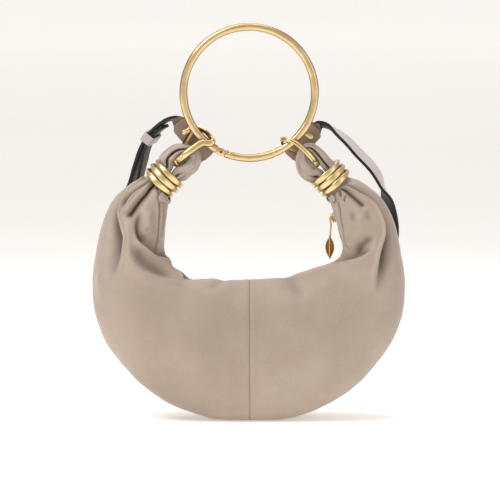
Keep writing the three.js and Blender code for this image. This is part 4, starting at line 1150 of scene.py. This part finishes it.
def tab_plate(side):
    """The chamfered leather end that lies flat behind the ring, with black painted edges."""
    tip, lip = TABS[side]
    middle = math.radians((tip + lip) / 2)
    along = np.array([side * math.cos(middle), 0, math.sin(middle)])
    across = np.array([side * math.sin(middle), 0, -math.cos(middle)])
    spine = np.array([RING_X, 0, RING_Z]) + across * (RING_RADIUS + STRAP_WIDTH * 0.42)
    spine[1] = TAB_PLANE - STRAP_THICKNESS / 2 - 0.9
    length = math.radians(lip - tip) * (RING_RADIUS + STRAP_WIDTH / 2)
    half, end, cut = STRAP_WIDTH / 2 + 0.4, length / 2 + 0.6, 4.6
    corners = [(-end, -half + cut), (-end + cut, -half), (end - cut, -half), (end, -half + cut),
               (end, half - cut), (end - cut, half), (-end + cut, half), (-end, half - cut)]
    outline = rounded_polygon(corners, 0.8)
    rings = []
    for deep, inset in ((-0.9, 0.5), (-0.75, 0.12), (-0.4, 0), (0.4, 0), (0.75, 0.12), (0.9, 0.5)):
        scale = 1 - inset / 9
        rings.append(spine + outline[:, :1] * scale * along + outline[:, 1:] * scale * across + deep * Y_AXIS)
    piece = skin(f"strap_tab_{WORDS[side]}", np.array(rings), [TRIM_LEATHER, EDGE_PAINT], slot="trim_leather")
    index = np.zeros(len(piece.data.polygons), np.int32)
    count = len(outline)
    index[count:4 * count] = 1
    piece.data.polygons.foreach_set("material_index", index)
    stud(side)


def rounded_polygon(corners, radius, steps=3):
    corners = np.asarray(corners, float)
    points = []
    for k, corner in enumerate(corners):
        before, after = unit(corners[k - 1] - corner), unit(corners[(k + 1) % len(corners)] - corner)
        for t in np.linspace(0, 1, steps + 1):
            a, b = corner + before * radius, corner + after * radius
            points.append((1 - t) ** 2 * a + 2 * t * (1 - t) * corner + t * t * b)
    return np.array(points)


def stud(side):
    """The gold stud that holds a strap end to the ring's lug: a domed head in front and behind."""
    foot = ring_point(STUD_ANGLES[side], STUD_RADIUS)
    low = TAB_PLANE - STRAP_THICKNESS / 2 - 1.8
    high = TAB_PLANE + STRAP_THICKNESS / 2
    profile = [(low - 0.9, 0.6), (low - 0.8, 1.5), (low - 0.5, 2.1), (low - 0.1, 2.3), (low, 2.1),
               (low + 0.1, 1.8),
               (high + 0.1, 1.8), (high + 0.2, 3.8), (high + 0.5, 4.1), (high + 1.2, 3.4), (high + 1.6, 1.6),
               (high + 1.7, 0.4)]
    lathe(f"strap_stud_{WORDS[side]}", foot, Y_AXIS, profile, GOLD, slot="gold")
    # The lug that carries the stud: a flat arm from the ring's back.
    turn = math.radians(STUD_ANGLES[side])
    away = np.array([math.sin(turn), 0, -math.cos(turn)])
    across = np.cross(Y_AXIS, away)
    reach = STUD_RADIUS - RING_RADIUS
    corners = [(-2.2, -2), (reach + 1.4, -2), (reach + 2.4, 0), (reach + 1.4, 2), (-2.2, 2)]
    outline = rounded_polygon(corners, 0.7)
    seat = ring_point(STUD_ANGLES[side])
    arm = outline[:, :1] * away + outline[:, 1:] * across
    rings = [seat + arm * scale + deep * Y_AXIS for deep, scale in ((1.4, 0.94), (1.7, 1), (3.1, 1), (3.4, 0.94))]
    skin(f"strap_lug_{WORDS[side]}", np.array(rings), GOLD, slot="gold")


def band_round_strap(name, place, length, material, node, slot, wall=1.6):
    """A loop round both layers of the strap: a closed band with rounded edges."""
    centre, run, width, normal = (v[0] for v in strap_frame(SHORT_ROWS, place / (len(SHORT_ROWS) - 1)))
    deep = abs(LAYER_OFFSET) + STRAP_THICKNESS + 5 * GAP
    wide = STRAP_WIDTH + 5 * GAP
    middle = centre + normal * LAYER_OFFSET / 2
    path = rounded_box(wide / 2 + wall / 2, deep / 2 + wall / 2, 1.6, 6)
    section = rounded_box(length / 2, wall / 2, wall * 0.42, 4)
    line = middle + path[:, :1] * width + path[:, 1:] * normal
    ahead = unit(np.roll(line, -1, 0) - np.roll(line, 1, 0))
    out = np.cross(ahead, run)
    rings = sweep(line, np.broadcast_to(run, line.shape), out, section)
    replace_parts(skin(name, rings, material, closed=True, slot=slot), node)


build_strap("strap_piece_short", SHORT_ROWS, -INWARD, "strap_short")
long_sign = np.sign(strap_frame(LONG_ROWS, 6 / (len(LONG_ROWS) - 1))[3][0, 0])
build_strap("strap_piece_long", LONG_ROWS, long_sign, "strap_long", taper_both=True)
for each_side in (-1, 1):
    tab_plate(each_side)
band_round_strap("keeper_band", KEEPER_STATION, KEEPER_LENGTH, KEEPER_LEATHER, "strap_keeper", "strap_leather")
band_round_strap("buckle_frame", BUCKLE_STATION, BUCKLE_LENGTH, GOLD, "strap_buckle", "gold")


# The zip: shares of its line where the tape, the teeth and the slider start, and heights from the line
TAPE_FIRST = 2 / 22
TEETH_FIRST = 3 / 22
SLIDER_PLACE = 1 - 3.55 / 22
TAPE_TOP = -2.3
TEETH_PITCH = 1.9
PULL_LENGTH = 15.0
CHARM_LENGTH = 21.0
CHARM_WIDTH = 8.4
CHARM_THICKNESS = 1.8


def zip_frame(along):
    """Centre of the zip's line between the body's edges, its run, the way out and half the slot's width."""
    along = np.atleast_1d(np.asarray(along, float))
    front = smooth_point(along, 0)
    run = smooth_point(np.minimum(along + 0.004, 1), 0) - smooth_point(np.maximum(along - 0.004, 0), 0)
    run = unit(run * [1, 0, 1])
    return front * [1, 0, 1], run, np.cross(run, Y_AXIS), np.abs(front[:, 1])


def build_tape():
    share = np.linspace(0, 1, 260)
    centre, _, out, half = zip_frame(TAPE_FIRST + (1 - 2 * TAPE_FIRST) * share)
    half = half + 3.5 * np.minimum(1, 0.1 + 5 * np.minimum(share, 1 - share))
    across = np.linspace(-1, 1, 25)
    deep = across[None, :] * half[:, None]
    # The cloth sags a little beside the teeth.
    sag = -0.25 * np.sin(math.pi * np.abs(across)) - 0.12 * np.sin(60 * share)[:, None] * np.abs(across)
    upper = centre[:, None] + deep[..., None] * Y_AXIS + (TAPE_TOP + sag)[..., None] * out[:, None]
    lower = upper - 0.7 * out[:, None]
    rings = np.concatenate([upper, lower[:, ::-1]], axis=1)
    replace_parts(skin("zip_cloth_tape", rings, ZIP_CLOTH, slot="zip_cloth"), "zip_tape")


# A tooth's outline from its root to its rounded head (across, along), and its layers (lift, size)
TOOTH = np.array([(2.3, -0.55), (0.6, -0.5), (-0.2, -0.62), (-0.75, -0.4), (-0.9, 0), (-0.75, 0.4), (-0.2, 0.62),
                  (0.6, 0.5), (2.3, 0.55)])
TOOTH_LAYERS = [(-1.95, 0.94), (-1.7, 1), (-0.1, 1), (0.15, 0.86)]


def build_teeth():
    """Two rows of small metal teeth that lock into each other from both sides."""
    dense = np.linspace(TEETH_FIRST, 1 - TEETH_FIRST, 1200)
    centre, run, out, _ = zip_frame(dense)
    travelled = np.concatenate([[0], np.cumsum(np.linalg.norm(np.diff(centre, axis=0), axis=1))])
    places = np.arange(TEETH_PITCH, travelled[-1] - TEETH_PITCH, TEETH_PITCH / 2)
    teeth = []
    for k, place in enumerate(places):
        i = int(np.clip(np.searchsorted(travelled, place), 0, len(dense) - 1))
        across = Y_AXIS * (-1 if k % 2 else 1)
        teeth.append([centre[i] + out[i] * lift + size * (TOOTH[:, :1] * across + TOOTH[:, 1:] * run[i])
                      for lift, size in TOOTH_LAYERS])
    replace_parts(bundle("zip_teeth_rows", teeth, ZIP_GOLD, "gold", smooth=False), "zip_teeth")


def plate_on_zip(name, along, outline, heights, material):
    """A plate in layers over the zip: outline (along the run, across), heights (lift, size)."""
    centre, run, out, _ = (v[0] for v in zip_frame(along))
    plate = outline[:, :1] * run + outline[:, 1:] * Y_AXIS
    rings = [centre + out * lift + plate * size for lift, size in heights]
    return skin(name, np.array(rings), material, slot="gold")


def build_slider():
    body = ROUND * [5.0, 3.75]
    body = body * (1 - 0.12 * (body[:, :1] > 1) * np.abs(ROUND[:, :1]))
    heights = [(0.5, 0.9), (0.75, 1), (1.5, 1), (1.75, 0.9), (1.8, 0.62), (2.5, 0.62), (2.55, 0.9), (2.8, 1),
               (3.3, 1), (3.6, 0.88)]
    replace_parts(plate_on_zip("slider_body", SLIDER_PLACE, body, heights, ZIP_GOLD), "zip_slider")
    bridge = rounded_polygon([(-2.6, -0.8), (2.6, -0.8), (2.6, 0.8), (-2.6, 0.8)], 0.6)
    plate_on_zip("slider_bridge", SLIDER_PLACE, bridge, [(3.62, 1), (4.1, 0.97), (4.35, 0.7), (4.4, 0.2)], ZIP_GOLD)


def build_pull():
    centre, _, out, _ = (v[0] for v in zip_frame(SLIDER_PLACE))
    top = centre + out * 5.1
    places = [(0.3, 0), (0.62, 0.4), (0.5, 0.9), (0, 1), (-0.5, 0.9), (-0.62, 0.4), (-0.3, 0)]
    points = [top + [1.1 * math.sin(3 * down), aside * PULL_LENGTH / 3, -down * PULL_LENGTH]
              for aside, down in places]
    line = closed_spline(points, np.linspace(0, 1, 90, endpoint=False))
    run, side, up = transported(line, np.array([1.0, 0, 0]), closed=True)
    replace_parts(skin("pull_wire", sweep(line, side, up, ROUND[::2], 0.75, 0.75), ZIP_GOLD, closed=True,
                     slot="gold"), "zip_pull_loop")
    low = top[2] - PULL_LENGTH - 1.0
    profile = [(-1.4, 0.5), (-1.2, 1.1), (0, 1.25), (0.1, 0.4)]
    lathe("pull_collar", (top[0] + 0.2, 0, low + 0.2), (0, 0, 1), profile, ZIP_GOLD, slot="gold")
    # The leaf: half width by its length, pinched at the stem, with a raised rib and two hollow lobes
    widths = [(0, 0.12), (0.1, 0.34), (0.22, 0.72), (0.36, 0.95), (0.52, 1), (0.68, 0.84), (0.82, 0.5),
              (0.93, 0.22), (1, 0.05)]
    across = np.linspace(-1, 1, 25)
    rings, shade = [], []
    for down in np.linspace(0, 1, 48):
        wide = np.interp(down, *zip(*widths)) * CHARM_WIDTH / 2
        rib = bell(across * wide, 0.65)
        edge = np.clip((1 - np.abs(across)) * 6, 0, 1)
        half = CHARM_THICKNESS / 2 * (0.36 + 0.16 * edge - 0.16 * edge * (1 - rib) + 0.42 * rib)
        half = half * min(1, 0.4 + 6 * (1 - down))
        front = np.stack([across * wide, -half, np.zeros(25)], axis=-1)
        back = np.stack([across[::-1] * wide, half[::-1], np.zeros(25)], axis=-1)
        rings.append(np.concatenate([front, back]) + [top[0], 0, low - 0.5 - down * CHARM_LENGTH])
        # Painted shade in the two hollow lobes between the rib and the rim.
        dark = edge * (1 - rib)
        shade.append(np.concatenate([dark, dark[::-1]]))
    charm = skin("pull_leaf", np.array(rings), ZIP_GOLD, slot="gold")
    set_painted_shade(charm, np.array(shade).ravel())
    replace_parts(charm, "zip_pull_charm")


# Leather tabs over the zip's ends: place along, place around from the zip's edge
ZIP_ENDS = {-1: ((0.062, 0.11), (0.012, 0.18)), 1: ((0.94, 0.894), (0.012, 0.14))}


def zip_end(side):
    """A rounded tab laid on the body's folds, with an eyelet ring in its outer part, its hole filled with a black
    disc as painted shade.
    """
    (a0, a1), (b0, b1) = ZIP_ENDS[side]
    angle = np.linspace(0, 2 * math.pi, 48, endpoint=False)
    corner = squared(np.stack([np.cos(angle), np.sin(angle)], axis=-1), 0.5)

    def laid(places, lift):
        a = a0 + (a1 - a0) * (0.5 + 0.5 * places[..., 0])
        b = b0 + (b1 - b0) * (0.5 + 0.5 * places[..., 1])
        base = np.atleast_2d(smooth_point(a, b))
        relief, _ = fold_relief(base, np.atleast_1d(b))
        return base + smooth_normal(a, b) * (lift + np.clip(relief, -1.5, 0.6)[:, None])

    rings = [laid(corner * size, lift) for size, lift in (
        (0.2, 0.7), (0.6, 0.7), (0.97, 0.7), (1.0, 1.1), (1.0, 1.7), (0.97, 2.05), (0.9, 2.2), (0.6, 2.15),
        (0.35, 2.1), (0.12, 2.1))]
    piece = skin(f"zip_tab_{WORDS[side]}", np.array(rings), TAB_LEATHER, slot="trim_leather")
    # Painted shade round the tab's side wall.
    shade = np.zeros((10, 48))
    shade[3:5] = 0.6
    set_painted_shade(piece, shade.ravel())
    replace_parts(piece, f"zip_end_{WORDS[side]}")
    seat = laid(np.array([0.05, -0.25]), 2.15)[0]
    normal = smooth_normal(a0 + (a1 - a0) * 0.52, b0 + (b1 - b0) * 0.375)
    eyelet = [(-0.4, 0.2), (-0.4, 1.1), (0.1, 1.15), (0.12, 1.7), (0.5, 2.0), (0.62, 2.4), (0.45, 2.8),
              (-0.1, 2.9), (-0.4, 2.8)]
    hole_shade_disc = [(-0.3, 0.2), (-0.1, 1.75), (0.5, 1.8), (0.58, 1.5), (0.3, 0.2)]
    lathe(f"zip_tab_eyelet_{WORDS[side]}", seat, normal, eyelet, TAB_LEATHER, slot="trim_leather")
    # A black disc fills the eyelet's hole as painted shade.
    lathe(f"zip_tab_hole_{WORDS[side]}", seat, normal, hole_shade_disc, EDGE_PAINT, slot="trim_leather")


build_tape()
build_teeth()
build_slider()
build_pull()
for each_side in (-1, 1):
    zip_end(each_side)


# The floor runs up behind the bag in one sweep
def backdrop():
    profile = [(-7.5, -0.001), (6.2, -0.001), (6.7, 0.03), (7.1, 0.2), (7.3, 0.6), (7.4, 5)]
    points = [(x, y, z) for y, z in profile for x in (-7.5, 7.5)]
    faces = [(2 * k, 2 * k + 1, 2 * k + 3, 2 * k + 2) for k in range(len(profile) - 1)]
    mesh = bpy.data.meshes.new("backdrop")
    mesh.from_pydata(points, [], faces)
    mesh.polygons.foreach_set("use_smooth", [True] * len(faces))
    mesh.materials.append(BACKDROP)
    floor = bpy.data.objects.new("backdrop", mesh)
    bpy.context.collection.objects.link(floor)


def world_light():
    world = bpy.data.worlds.new("studio")
    bpy.context.scene.world = world
    world.use_nodes = True
    ground = world.node_tree.nodes["Background"]
    ground.inputs["Color"].default_value = (1.0, 0.985, 0.965, 1)
    ground.inputs["Strength"].default_value = WORLD_STRENGTH


place_camera()
backdrop()
world_light()
for light_row in LIGHTS:
    place_light(*light_row)

scene = bpy.context.scene
scene.view_settings.view_transform = "Standard"
